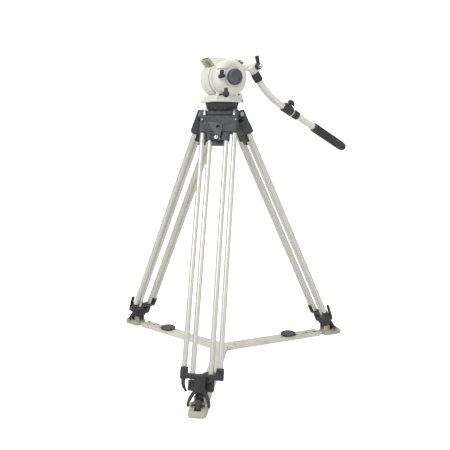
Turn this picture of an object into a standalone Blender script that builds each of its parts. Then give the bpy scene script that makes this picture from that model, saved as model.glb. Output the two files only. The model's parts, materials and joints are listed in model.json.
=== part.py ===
"""Fluid pan and tilt head on a twin-tube tripod with a ground spreader. Metres, +Z up, floor at z = 0."""
import math

import bmesh
import bpy
from mathutils import Matrix, Vector

# Driving dimensions
GAP = 0.0003                    # clearance between pieces that touch
FRONT_LEG_DEG = 261.68          # heading of leg 1 in plan, the others follow at 120 degree steps
HEAD_YAW_DEG = 30.0             # heading of the operator side of the head
LEG_LEAN = math.radians(25.57)  # leg angle from the vertical
CROWN_PIVOT_Z = 0.890
ANKLE_R, ANKLE_Z = 0.459, 0.035
LEG_LENGTH = (CROWN_PIVOT_Z - ANKLE_Z) / math.cos(LEG_LEAN)
CROWN_PIVOT_R = ANKLE_R - LEG_LENGTH * math.sin(LEG_LEAN)
TUBE_R = 0.0085
OUTER_TUBE_Y, INNER_TUBE_Y = 0.056, 0.0285
CASTING_HALF_W = 0.067
LUG_HALF_W = 0.045
CASTING_END, BRIDGE_END = -0.075, -0.104
TUBE_END = -0.861
SOCKET_END = -0.898
FOOT_BLOCK_END = -0.932
PIN_R = 0.004
CLAMP_PIVOT_Z = -0.092

BOWL_TOP_Z, BOWL_BOTTOM_Z = 0.9305, 0.907
BOWL_TOP_R, BOWL_BOTTOM_R = 0.059, 0.0525
BALL_R = 0.050
BALL_Z = 0.934

TILT_Z = 1.014                  # height of the tilt axis
DRUM_R = 0.0625
DRUM_NEAR_Y, DRUM_FAR_Y = -0.079, 0.052
SKIRT_TOP_Z = 0.956
CORE_NEAR_Y, CORE_FAR_Y = -0.038, -0.014
CORE_R = 0.0613
AXLE_R = 0.008
PAN_LOCK_AT = Vector((-0.041, -0.060, 0.9545))
TILT_LOCK_AT = Vector((-0.0505, DRUM_NEAR_Y - GAP, 1.0185))
PLATFORM_TOP_Z = 1.080
PLATFORM_HALF_W = 0.039

BAR_PIVOT = Vector((0.140, 0.0, 1.0625))
BAR_BOSS_R = 0.0150
BAR_R = 0.0125
SPIGOT_R = 0.009
BAR_UPPER_DEG, BAR_LOWER_DEG = -53.0, -27.0
BAR_BEND_START = Vector((0.1597, 0.0, 1.0132))
BAR_BEND_RADIUS = 0.285
BAR_STRAIGHT = 0.013            # straight end of the bent tube
UPPER_COLLAR_LENGTH = 0.033
LOCK_LENGTH = 0.045
LOCK_TO_GRIP = 0.168
GRIP_LENGTH = 0.190

ARM_HALF_W, ARM_H = 0.022, 0.0165
ARM_SIDE_WALL, ARM_TOP_WALL = 0.0022, 0.003
ARM_START, ARM_END = 0.0525, 0.425
HUB_END = 0.052                 # reach of the hub along each arm
SLIDER_HALF_W, SLIDER_TOP = 0.0105, 0.0130
SLIDER_START, SLIDER_END = 0.250, 0.4445
YOKE_AT = Vector((0.490, 0.0, 0.0235))
YOKE_LEAN_DEG = -25.0
PAD_START, PAD_END, PAD_H = 0.446, 0.525, 0.018
KNOB_AT, KNOB_R = 0.288, 0.0305

COLOURS = {
    "cream_paint": ((0.76, 0.75, 0.66), 0.42, 0.0),
    "tube_silver": ((0.66, 0.66, 0.60), 0.38, 0.55),
    "cast_grey": ((0.085, 0.087, 0.095), 0.62, 0.25),
    "black_plastic": ((0.03, 0.03, 0.033), 0.5, 0.0),
    "grey_plastic": ((0.11, 0.115, 0.12), 0.55, 0.0),
    "steel": ((0.62, 0.62, 0.61), 0.3, 1.0),
    "rubber": ((0.02, 0.02, 0.02), 0.8, 0.0),
    "spreader_beige": ((0.70, 0.67, 0.57), 0.5, 0.0),
    "pad_olive": ((0.30, 0.30, 0.22), 0.7, 0.0),
}


def clear_scene():
    for obj in list(bpy.data.objects):
        bpy.data.objects.remove(obj, do_unlink=True)


def material(name):
    mat = bpy.data.materials.get(name)
    if mat is None:
        mat = bpy.data.materials.new(name)
        mat.use_nodes = True
        colour, roughness, metallic = COLOURS[name]
        shader = mat.node_tree.nodes["Principled BSDF"]
        shader.inputs["Base Color"].default_value = (*colour, 1.0)
        shader.inputs["Roughness"].default_value = roughness
        shader.inputs["Metallic"].default_value = metallic
    return mat


def empty(name, matrix):
    obj = bpy.data.objects.new(name, None)
    bpy.context.collection.objects.link(obj)
    obj.matrix_world = matrix
    return obj


def mesh_object(name, bm):
    bmesh.ops.recalc_face_normals(bm, faces=bm.faces)
    mesh = bpy.data.meshes.new(name)
    bm.to_mesh(mesh)
    bm.free()
    obj = bpy.data.objects.new(name, mesh)
    bpy.context.collection.objects.link(obj)
    return obj


def axis_matrix(axis, centre):
    """A frame at centre whose Z runs along axis."""
    turn = Vector(axis).normalized().to_track_quat("Z", "Y").to_matrix().to_4x4()
    return Matrix.Translation(centre) @ turn


def box(low, high, bevel=0.0, segments=1):
    """A block between two corners, its edges broken by bevel."""
    bm = bmesh.new()
    size = [b - a for a, b in zip(low, high)]
    middle = [(a + b) / 2 for a, b in zip(low, high)]
    bmesh.ops.create_cube(bm, size=1.0, matrix=Matrix.Translation(middle) @ Matrix.Diagonal((*size, 1.0)))
    if bevel:
        bmesh.ops.bevel(bm, geom=bm.edges[:], offset=bevel, segments=segments, affect="EDGES")
    return mesh_object("shape", bm)


def turned(profile, axis=(0, 0, 1), centre=(0, 0, 0), sides=16):
    """A solid of revolution: (radius, height) pairs from bottom to top, closed with flat ends."""
    frame = axis_matrix(axis, centre)
    bm = bmesh.new()
    rings = []
    for radius, height in profile:
        ring = []
        for i in range(sides):
            angle = 2 * math.pi * i / sides
            ring.append(bm.verts.new(frame @ Vector((radius * math.cos(angle), radius * math.sin(angle), height))))
        rings.append(ring)
    for lower, upper in zip(rings, rings[1:]):
        for i in range(sides):
            j = (i + 1) % sides
            bm.faces.new((lower[i], lower[j], upper[j], upper[i]))
    bm.faces.new(rings[0][::-1])
    bm.faces.new(rings[-1])
    return mesh_object("shape", bm)


def rod(start, end, radius, sides=16):
    start, end = Vector(start), Vector(end)
    return turned([(radius, 0.0), (radius, (end - start).length)], end - start, start, sides)


def prism(outline, axis, low, high):
    """An outline of 2-D points extruded along X or Y. Along Y it is (x, z), along X it is (y, z)."""
    bm = bmesh.new()
    place = {"Y": lambda p, t: (p[0], t, p[1]), "X": lambda p, t: (t, p[0], p[1])}[axis]
    lower = [bm.verts.new(place(p, low)) for p in outline]
    upper = [bm.verts.new(place(p, high)) for p in outline]
    bm.faces.new(lower)
    bm.faces.new(upper[::-1])
    for i in range(len(outline)):
        j = (i + 1) % len(outline)
        bm.faces.new((lower[i], upper[i], upper[j], lower[j]))
    return mesh_object("shape", bm)


def sweep(points, radius, sides=16):
    """A round bar through points that lie in the XZ plane."""
    bm = bmesh.new()
    side = Vector((0, 1, 0))
    rings = []
    for i, point in enumerate(points):
        along = (points[min(i + 1, len(points) - 1)] - points[max(i - 1, 0)]).normalized()
        up = along.cross(side)
        rings.append([bm.verts.new(point + radius * (math.cos(a) * side + math.sin(a) * up))
                      for a in (2 * math.pi * k / sides for k in range(sides))])
    for lower, upper in zip(rings, rings[1:]):
        for k in range(sides):
            j = (k + 1) % sides
            bm.faces.new((lower[k], lower[j], upper[j], upper[k]))
    bm.faces.new(rings[0][::-1])
    bm.faces.new(rings[-1])
    return mesh_object("shape", bm)


def combine(base, join=(), cut=()):
    """Base united with the first list, then cut by the second, as one plain mesh."""
    for operation, tools in (("UNION", join), ("DIFFERENCE", cut)):
        for tool in tools:
            modifier = base.modifiers.new(operation, "BOOLEAN")
            modifier.operation = operation
            modifier.solver = "EXACT"
            modifier.object = tool
    graph = bpy.context.evaluated_depsgraph_get()
    graph.update()
    mesh = bpy.data.meshes.new_from_object(base.evaluated_get(graph))
    base.modifiers.clear()
    base.data = mesh
    for tool in (*join, *cut):
        bpy.data.objects.remove(tool, do_unlink=True)
    return base


def piece(name, obj, parent, finish):
    """Names a finished solid, gives it its finish and hangs it on its joint's frame."""
    obj.name = name
    obj.data.name = name
    obj.parent = parent
    obj.data.materials.clear()
    obj.data.materials.append(material(finish))
    obj.data.shade_smooth()
    obj.data.set_sharp_from_angle(angle=math.radians(35))
    return obj


def copy_piece(name, source, parent):
    obj = bpy.data.objects.new(name, source.data)
    bpy.context.collection.objects.link(obj)
    obj.parent = parent
    return obj


def moved(obj, origin):
    """Shifts a solid's mesh so that it is measured from its joint's frame."""
    obj.data.transform(Matrix.Translation(-Vector(origin)))
    return obj


# ---------------------------------------------------------------- crown and bowl
def leg_heading(k):
    return math.radians(FRONT_LEG_DEG + 120.0 * k)


def build_crown():
    root = empty("crown_frame", Matrix.Identity(4))
    body = turned([(0.030, 0.862), (0.038, 0.866), (0.038, 0.882), (0.0475, 0.898), (BOWL_BOTTOM_R, BOWL_BOTTOM_Z),
                   (BOWL_TOP_R, BOWL_TOP_Z - 0.004), (BOWL_TOP_R, BOWL_TOP_Z)], sides=24)
    lugs, bores = [], []
    for k in range(3):
        turn = Matrix.Rotation(leg_heading(k), 4, "Z")
        lug = box((0.026, -LUG_HALF_W + 0.0007, 0.8803), (CROWN_PIVOT_R + 0.002, LUG_HALF_W - 0.0007, 0.8991), 0.002)
        nose = rod((CROWN_PIVOT_R, -LUG_HALF_W, CROWN_PIVOT_Z), (CROWN_PIVOT_R, LUG_HALF_W, CROWN_PIVOT_Z), 0.0117)
        bore = rod((CROWN_PIVOT_R, -0.08, CROWN_PIVOT_Z), (CROWN_PIVOT_R, 0.08, CROWN_PIVOT_Z), PIN_R + GAP, 16)
        for shape in (lug, nose, bore):
            shape.data.transform(turn)
        lugs += [lug, nose]
        bores.append(bore)
    cup = turned([(BALL_R * math.cos(a) + 0.0008, BALL_Z + BALL_R * math.sin(a) - 0.0008)
                  for a in (math.radians(d) for d in (-64, -48, -32, -16, 0))], sides=24)
    throat = rod((0, 0, 0.85), (0, 0, 0.91), 0.0215, 24)
    piece("crown_casting", combine(body, lugs, [cup, throat, *bores]), root, "cast_grey")
    for k in range(3):
        frame = empty(f"pin_{k + 1}_frame", Matrix.Rotation(leg_heading(k), 4, "Z"))
        pin = rod((CROWN_PIVOT_R, -CASTING_HALF_W + 0.001, CROWN_PIVOT_Z),
                  (CROWN_PIVOT_R, CASTING_HALF_W - 0.001, CROWN_PIVOT_Z), PIN_R, 16)
        piece(f"leg_{k + 1}_hinge_pin", pin, frame, "steel")


# ---------------------------------------------------------------- legs
def build_upper_casting(frame):
    body = box((-0.004, -CASTING_HALF_W, CASTING_END), (0.014, CASTING_HALF_W, 0.012), 0.003, 2)
    back = box((-0.0115, -CASTING_HALF_W + 0.001, CASTING_END + 0.001), (0.010, CASTING_HALF_W - 0.001, -0.024), 0.002)
    bridge = box((-0.010, -0.037, BRIDGE_END), (0.011, 0.037, CASTING_END + 0.01), 0.0015)
    step = box((0.010, -CASTING_HALF_W + 0.004, CASTING_END + 0.002), (0.017, CASTING_HALF_W - 0.004, -0.040), 0.0015)
    slot = box((-0.03, -LUG_HALF_W - 0.0015, -0.0135), (0.03, LUG_HALF_W + 0.0015, 0.03))
    bore = rod((0, -0.08, 0), (0, 0.08, 0), PIN_R + GAP, 16)
    window = box((-0.03, -0.045, -0.066), (-0.004, 0.045, -0.034))
    pivot_hole = rod((0.009, 0.0, CLAMP_PIVOT_Z), (0.03, 0.0, CLAMP_PIVOT_Z), 0.0045 + GAP, 16)
    return piece("leg_1_upper_casting", combine(body, [back, bridge, step], [slot, bore, window, pivot_hole]),
                 frame, "cast_grey")


def build_clamp_lever(frame):
    outline = [(-0.004, 0.000), (0.006, -0.001), (0.014, 0.030), (0.011, 0.040), (-0.002, 0.044),
               (-0.034, 0.052), (-0.036, 0.048), (-0.012, 0.014)]
    blade = prism(outline, "X", 0.0185, 0.0225)
    boss = rod((0.0185, 0, 0), (0.027, 0, 0), 0.008)
    shaft = rod((0.0095, 0, 0), (0.020, 0, 0), 0.0045, 16)
    hole = rod((0.0, 0.0, 0.032), (0.04, 0.0, 0.032), 0.0065, 20)
    return piece("leg_1_clamp_lever", combine(blade, [boss, shaft], [hole]), frame, "grey_plastic")


def build_lower_casting(frame):
    bar = box((-0.011, -OUTER_TUBE_Y, SOCKET_END + 0.001), (0.011, OUTER_TUBE_Y, -0.8805), 0.002)
    sockets = [turned([(0.0105, 0.0), (0.0125, 0.003), (0.0125, 0.034), (0.0115, 0.0367)], (0, 0, 1),
                      (0, side * OUTER_TUBE_Y, SOCKET_END), 20) for side in (-1, 1)]
    holes = [rod((0, side * INNER_TUBE_Y, SOCKET_END - 0.01), (0, side * INNER_TUBE_Y, -0.86), TUBE_R + 0.0004)
             for side in (-1, 1)]
    return piece("leg_1_lower_casting", combine(bar, sockets, holes), frame, "cast_grey")


def build_inner_frame(frame):
    first, second = [rod((0, side * INNER_TUBE_Y, SOCKET_END - GAP), (0, side * INNER_TUBE_Y, BRIDGE_END - GAP), TUBE_R)
                     for side in (-1, 1)]
    tie = box((-0.005, -INNER_TUBE_Y, BRIDGE_END - 0.016), (0.005, INNER_TUBE_Y, BRIDGE_END - 0.002), 0.001)
    return piece("leg_1_inner_frame", combine(first, [second, tie]), frame, "tube_silver")


def build_foot(frame):
    block = box((-0.0125, -0.040, FOOT_BLOCK_END), (0.0125, 0.040, SOCKET_END - 2 * GAP), 0.003, 2)
    shank = box((-0.012, -0.0115, -LEG_LENGTH), (0.012, 0.0115, FOOT_BLOCK_END + 0.006))
    heel = rod((0, -0.0115, -LEG_LENGTH), (0, 0.0115, -LEG_LENGTH), 0.0128)
    bore = rod((0, -0.03, -LEG_LENGTH), (0, 0.03, -LEG_LENGTH), 0.0035, 16)
    return piece("leg_1_foot", combine(block, [shank, heel], [bore]), frame, "rubber")


def leg_matrix(k):
    """Leg frame: origin on the crown pin, Z up the leg, X out from its face, Y along the pin."""
    place = Matrix.Translation((CROWN_PIVOT_R, 0, CROWN_PIVOT_Z)) @ Matrix.Rotation(-LEG_LEAN, 4, "Y")
    return Matrix.Rotation(leg_heading(k), 4, "Z") @ place


def build_legs():
    frames = [empty(f"leg_{k + 1}_frame", leg_matrix(k)) for k in range(3)]
    levers = [empty(f"leg_{k + 1}_lever_frame", leg_matrix(k) @ Matrix.Translation((0, 0, CLAMP_PIVOT_Z))) for k in range(3)]
    first = [build_upper_casting(frames[0]), build_lower_casting(frames[0]),
             build_inner_frame(frames[0]), build_foot(frames[0])]
    for side, letter in ((1, "a"), (-1, "b")):
        tube = rod((0, side * OUTER_TUBE_Y, TUBE_END + GAP), (0, side * OUTER_TUBE_Y, CASTING_END - GAP), TUBE_R)
        first.append(piece(f"leg_1_outer_tube_{letter}", tube, frames[0], "tube_silver"))
    lever = build_clamp_lever(levers[0])
    for k in (1, 2):
        for source in first:
            copy_piece(source.name.replace("leg_1", f"leg_{k + 1}"), source, frames[k])
        copy_piece(f"leg_{k + 1}_clamp_lever", lever, levers[k])


# ---------------------------------------------------------------- ground spreader
def build_pad(frame):
    pad = box((PAD_START, -0.028, 0.0), (PAD_END, 0.028, PAD_H), 0.002)
    tongue = box((0.335, -0.0065, 0.002), (PAD_START + 0.01, 0.0065, 0.010))
    ears = [box((PAD_START + 0.001, min(a, b), 0.010), (0.4725, max(a, b), 0.0395), 0.0012)
            for a, b in ((0.0125, 0.0170), (-0.0125, -0.0170))]
    pin = rod((ANKLE_R, -0.015, ANKLE_Z), (ANKLE_R, 0.015, ANKLE_Z), 0.0031, 16)
    yoke_ears = [box((0.484, side * 0.024 - 0.003, 0.010), (0.496, side * 0.024 + 0.003, 0.030), 0.001)
                 for side in (-1, 1)]
    yoke_bore = rod((0.490, -0.04, 0.0235), (0.490, 0.04, 0.0235), 0.0027, 12)
    return piece("spreader_1_end_pad", combine(pad, [tongue, *ears, pin, *yoke_ears], [yoke_bore]),
                 frame, "pad_olive")


def build_yoke(frame):
    outer = prism([(-0.0350, -0.006), (0.0350, -0.006), (0.0350, 0.006), (0.0290, 0.026), (0.0165, 0.048),
                   (0.0165, 0.087), (-0.0165, 0.087), (-0.0165, 0.048), (-0.0290, 0.026), (-0.0350, 0.006)],
                  "X", -0.003, 0.003)
    inner = prism([(-0.0288, -0.012), (0.0288, -0.012), (0.0288, 0.004), (0.0235, 0.022), (0.0100, 0.040),
                   (-0.0100, 0.040), (-0.0235, 0.022), (-0.0288, 0.004)], "X", -0.01, 0.01)
    top = rod((0, -0.0160, 0.084), (0, 0.0160, 0.084), 0.0055, 16)
    pin = rod((0, -0.0340, 0), (0, 0.0340, 0), 0.0023, 12)
    return piece("spreader_1_yoke", combine(outer, [top, pin], [inner]), frame, "black_plastic")


def build_spreader():
    frames = [empty(f"spreader_{k + 1}_frame", Matrix.Rotation(leg_heading(k), 4, "Z")) for k in range(3)]
    corner = ARM_HALF_W / math.sin(math.radians(60))
    outline = []
    for k in range(3):
        turn = Matrix.Rotation(math.radians(120 * k), 3, "Z")
        outline += [turn @ Vector((HUB_END, side * ARM_HALF_W, 0)) for side in (-1, 1)]
        outline.append(turn @ Matrix.Rotation(math.radians(60), 3, "Z") @ Vector((corner, 0, 0)))
    hub = loft([[point + Vector((0, 0, height)) for point in outline] for height in (0.0, ARM_H)])
    piece("spreader_hub", hub, frames[0], "spreader_beige")
    arm = combine(box((ARM_START, -ARM_HALF_W, 0.0), (ARM_END, ARM_HALF_W, ARM_H), 0.0012),
                  cut=[box((0.090, -ARM_HALF_W + ARM_SIDE_WALL, -0.01),
                           (ARM_END + 0.05, ARM_HALF_W - ARM_SIDE_WALL, ARM_H - ARM_TOP_WALL))])
    slider = combine(box((SLIDER_START, -SLIDER_HALF_W, 0.0008), (SLIDER_END, SLIDER_HALF_W, SLIDER_TOP)),
                     cut=[box((SLIDER_START - 0.01, -0.008, -0.01), (SLIDER_END + 0.01, 0.008, 0.0105))])
    knob = turned([(0.010, ARM_H + GAP), (0.010, ARM_H + 0.002), (KNOB_R - 0.0015, ARM_H + 0.0025), (KNOB_R, ARM_H + 0.005),
                   (KNOB_R, ARM_H + 0.008), (KNOB_R - 0.003, ARM_H + 0.0105)], sides=20)
    first = [piece("spreader_1_arm", arm, frames[0], "spreader_beige"),
             piece("spreader_1_slider", slider, frames[0], "spreader_beige"), build_pad(frames[0])]
    knob_frames = [empty(f"spreader_{k + 1}_knob_frame", frames[k].matrix_world @ Matrix.Translation((KNOB_AT, 0, 0)))
                   for k in range(3)]
    yoke_place = Matrix.Translation(YOKE_AT) @ Matrix.Rotation(math.radians(YOKE_LEAN_DEG), 4, "Y")
    yoke_frames = [empty(f"spreader_{k + 1}_yoke_frame", Matrix.Rotation(leg_heading(k), 4, "Z") @ yoke_place)
                   for k in range(3)]
    lock = piece("spreader_1_knob", knob, knob_frames[0], "grey_plastic")
    yoke = build_yoke(yoke_frames[0])
    for k in (1, 2):
        for source in first:
            copy_piece(source.name.replace("spreader_1", f"spreader_{k + 1}"), source, frames[k])
        copy_piece(f"spreader_{k + 1}_knob", lock, knob_frames[k])
        copy_piece(f"spreader_{k + 1}_yoke", yoke, yoke_frames[k])


# ---------------------------------------------------------------- fluid head
def rounded_rectangle(half_x, half_y, radius, height):
    points = []
    for cx, cy, start in ((1, 1, 0), (-1, 1, 90), (-1, -1, 180), (1, -1, 270)):
        for step in range(5):
            angle = math.radians(start + 22.5 * step)
            points.append(Vector((cx * (half_x - radius) + radius * math.cos(angle),
                                  cy * (half_y - radius) + radius * math.sin(angle), height)))
    return points


def loft(loops):
    bm = bmesh.new()
    rings = [[bm.verts.new(p) for p in loop] for loop in loops]
    for lower, upper in zip(rings, rings[1:]):
        for i in range(len(lower)):
            j = (i + 1) % len(lower)
            bm.faces.new((lower[i], lower[j], upper[j], upper[i]))
    bm.faces.new(rings[0][::-1])
    bm.faces.new(rings[-1])
    return mesh_object("shape", bm)


def tilt_rod(y_low, y_high, radius, sides=36, x=0.0, z=TILT_Z):
    return rod((x, y_low, z), (x, y_high, z), radius, sides)


def build_pan_base(frame):
    skirt = loft([rounded_rectangle(0.060, 0.058, 0.012, 0.9315), rounded_rectangle(0.060, 0.058, 0.012, 0.9370),
                  rounded_rectangle(0.0475, 0.046, 0.010, SKIRT_TOP_Z)])
    panel = prism([(-0.056, 0.934), (0.056, 0.934), (0.046, 0.964), (-0.046, 0.964)], "Y", -0.0575, CORE_NEAR_Y - 0.002)
    core = tilt_rod(CORE_NEAR_Y, CORE_FAR_Y, CORE_R)
    saddle_near = tilt_rod(-0.08, CORE_NEAR_Y, DRUM_R + 0.0006)
    saddle_far = tilt_rod(CORE_FAR_Y, 0.08, DRUM_R + 0.0006)
    axle_bore = tilt_rod(-0.08, 0.08, AXLE_R + GAP, 24)
    neck = rod((0, 0, 0.92), (0, 0, 0.9445), 0.0203, 24)
    lever_hole = rod((PAN_LOCK_AT.x, -0.07, PAN_LOCK_AT.z), (PAN_LOCK_AT.x, -0.0415, PAN_LOCK_AT.z), 0.0038, 16)
    return piece("pan_base", combine(skirt, [core, panel], [saddle_near, saddle_far, axle_bore, neck, lever_hole]),
                 frame, "cream_paint")


def build_tilt_body(frame):
    near_length = CORE_NEAR_Y - 0.0005 - DRUM_NEAR_Y
    near = turned([(0.044, 0.0), (0.052, 0.0015), (0.058, 0.006), (0.0615, 0.013), (DRUM_R, 0.021),
                   (DRUM_R, near_length - 0.0008), (DRUM_R - 0.0008, near_length)],
                  (0, 1, 0), (0, DRUM_NEAR_Y, TILT_Z), 36)
    far_start = CORE_FAR_Y + 0.0005
    far_length = DRUM_FAR_Y - far_start
    far = turned([(DRUM_R - 0.0008, 0.0), (DRUM_R, 0.0008), (DRUM_R, far_length - 0.008),
                  (DRUM_R - 0.0015, far_length - 0.003), (DRUM_R - 0.006, far_length)],
                 (0, 1, 0), (0, far_start, TILT_Z), 36)
    platform = prism([(-0.071, PLATFORM_TOP_Z), (-0.047, 1.049), (0.052, 1.049), (0.060, 1.056),
                      (0.060, PLATFORM_TOP_Z)], "Y", -PLATFORM_HALF_W, PLATFORM_HALF_W)
    core_room = tilt_rod(CORE_NEAR_Y - 0.0005, CORE_FAR_Y + 0.0005, CORE_R + 0.0007)
    axle_bore = tilt_rod(DRUM_NEAR_Y + 0.008, DRUM_FAR_Y - 0.008, AXLE_R + GAP, 24)
    track = box((-0.10, -0.0255, PLATFORM_TOP_Z - 0.004), (0.10, 0.0255, PLATFORM_TOP_Z + 0.01))
    mouth = prism([(-0.10, 1.0535), (-0.10, 1.0745), (-0.056, 1.0745), (-0.044, 1.0535)], "Y", -0.032, 0.032)
    knob_bores = [rod((0, DRUM_NEAR_Y - 0.01, TILT_Z), (0, DRUM_NEAR_Y + 0.005, TILT_Z), 0.006 + GAP, 20),
                  rod((TILT_LOCK_AT.x, DRUM_NEAR_Y - 0.01, TILT_LOCK_AT.z),
                      (TILT_LOCK_AT.x, DRUM_NEAR_Y + 0.005, TILT_LOCK_AT.z), 0.003 + GAP, 16)]
    return piece("tilt_body", combine(near, [far, platform], [core_room, axle_bore, track, mouth, *knob_bores]),
                 frame, "cream_paint")


def build_head():
    turn = Matrix.Rotation(math.radians(HEAD_YAW_DEG), 4, "Z")
    head = empty("head_frame", turn)
    ball_angles = [math.radians(d) for d in (-66, -50, -34, -18, -4)]
    ball = turned([(BALL_R * math.cos(a), BALL_Z + BALL_R * math.sin(a)) for a in ball_angles], sides=24)
    stub = rod((0, 0, 0.92), (0, 0, 0.944), 0.020, 24)
    shaft = rod((0, 0, 0.848), (0, 0, 0.92), 0.006, 20)
    piece("levelling_ball", combine(ball, [stub, shaft]), head, "cast_grey")
    grip = turned([(0.010, 0.0), (0.018, 0.003), (0.0200, 0.010), (0.0200, 0.034), (0.014, 0.040)],
                  (0, 0, 1), (0, 0, 0.8065), 24)
    piece("bowl_clamp_knob", grip, head, "black_plastic")
    build_pan_base(head)
    axle = tilt_rod(DRUM_NEAR_Y + 0.0085, DRUM_FAR_Y - 0.0085, AXLE_R, 24)
    piece("tilt_axle", axle, head, "steel")

    lever_frame = empty("pan_lock_frame", turn @ Matrix.Translation(PAN_LOCK_AT))
    pivot = rod((0, -0.039, 0), (0, 0.018, 0), 0.0034, 16)
    stem = rod((0, -0.039, 0.021), (0, -0.039, -0.002), 0.0066, 16)
    ball_knob = turned([(0.004, -0.0085), (0.009, -0.006), (0.0115, 0.0), (0.009, 0.006), (0.004, 0.0085)],
                       (0, 1, 0), (0, -0.039, 0.0), 20)
    piece("pan_lock_lever", combine(pivot, [ball_knob, stem]), lever_frame, "black_plastic")

    tilt = empty("tilt_frame", turn @ Matrix.Translation((0, 0, TILT_Z)))
    body = build_tilt_body(tilt)
    moved(body, (0, 0, TILT_Z))
    knob_face = DRUM_NEAR_Y - GAP
    drag = turned([(0.0255, 0.0), (0.0275, 0.003), (0.0275, 0.016), (0.0250, 0.0205), (0.0225, 0.0220)],
                  (0, -1, 0), (0, knob_face, TILT_Z), 24)
    spigot = rod((0, knob_face - 0.002, TILT_Z), (0, knob_face + 0.004, TILT_Z), 0.006, 20)
    piece("drag_knob", moved(combine(drag, [spigot]), (0, 0, TILT_Z)), tilt, "grey_plastic")

    lock_frame = empty("tilt_lock_frame", turn @ Matrix.Translation(TILT_LOCK_AT))
    hub = rod((0, 0.004, 0), (0, -0.010, 0), 0.003, 16)
    lobes = [turned([(0.0055, 0.0), (0.0068, 0.003), (0.0068, 0.009), (0.004, 0.0115)], (0, -1, 0),
                    (x, y, z), 16)
             for x, y, z in ((-0.0055, -0.0005, -0.006), (0.0055, -0.0008, -0.0035), (0.0015, -0.0011, 0.0100))]
    web = box((-0.004, -0.0095, -0.005), (0.0045, -0.002, 0.0095), 0.001)
    piece("tilt_lock_knob", combine(hub, [web, *lobes]), lock_frame, "black_plastic")

    plate = box((-0.064, -0.025, PLATFORM_TOP_Z - 0.0037), (0.056, 0.025, PLATFORM_TOP_Z + 0.002), 0.001)
    screw_hole = box((-0.030, -0.005, PLATFORM_TOP_Z - 0.01), (0.036, 0.005, PLATFORM_TOP_Z + 0.01))
    piece("camera_plate", combine(plate, cut=[screw_hole]), head, "cast_grey")

    clip_frame = empty("plate_lock_frame", turn @ Matrix.Translation((0.052, -PLATFORM_HALF_W - GAP, 1.069)))
    clip = prism([(-0.007, 0.007), (-0.008, -0.001), (-0.003, -0.007), (0.005, -0.007), (0.0095, -0.001),
                  (0.0095, 0.004), (0.0045, 0.000), (0.0, -0.001), (-0.003, 0.003)], "Y", -0.006, 0.0)
    piece("plate_lock_clip", clip, clip_frame, "black_plastic")


# ---------------------------------------------------------------- pan bar
def bar_path():
    """Centre line of the bent tube: straight off the clamp, then one arc down to the lower run."""
    start, end = math.radians(BAR_UPPER_DEG), math.radians(BAR_LOWER_DEG)
    centre = BAR_BEND_START + BAR_BEND_RADIUS * Vector((-math.sin(start), 0, math.cos(start)))
    arc = []
    for i in range(11):
        angle = start + (end - start) * i / 10
        arc.append(centre - BAR_BEND_RADIUS * Vector((-math.sin(angle), 0, math.cos(angle))))
    return arc, Vector((math.cos(end), 0, math.sin(end)))


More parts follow.
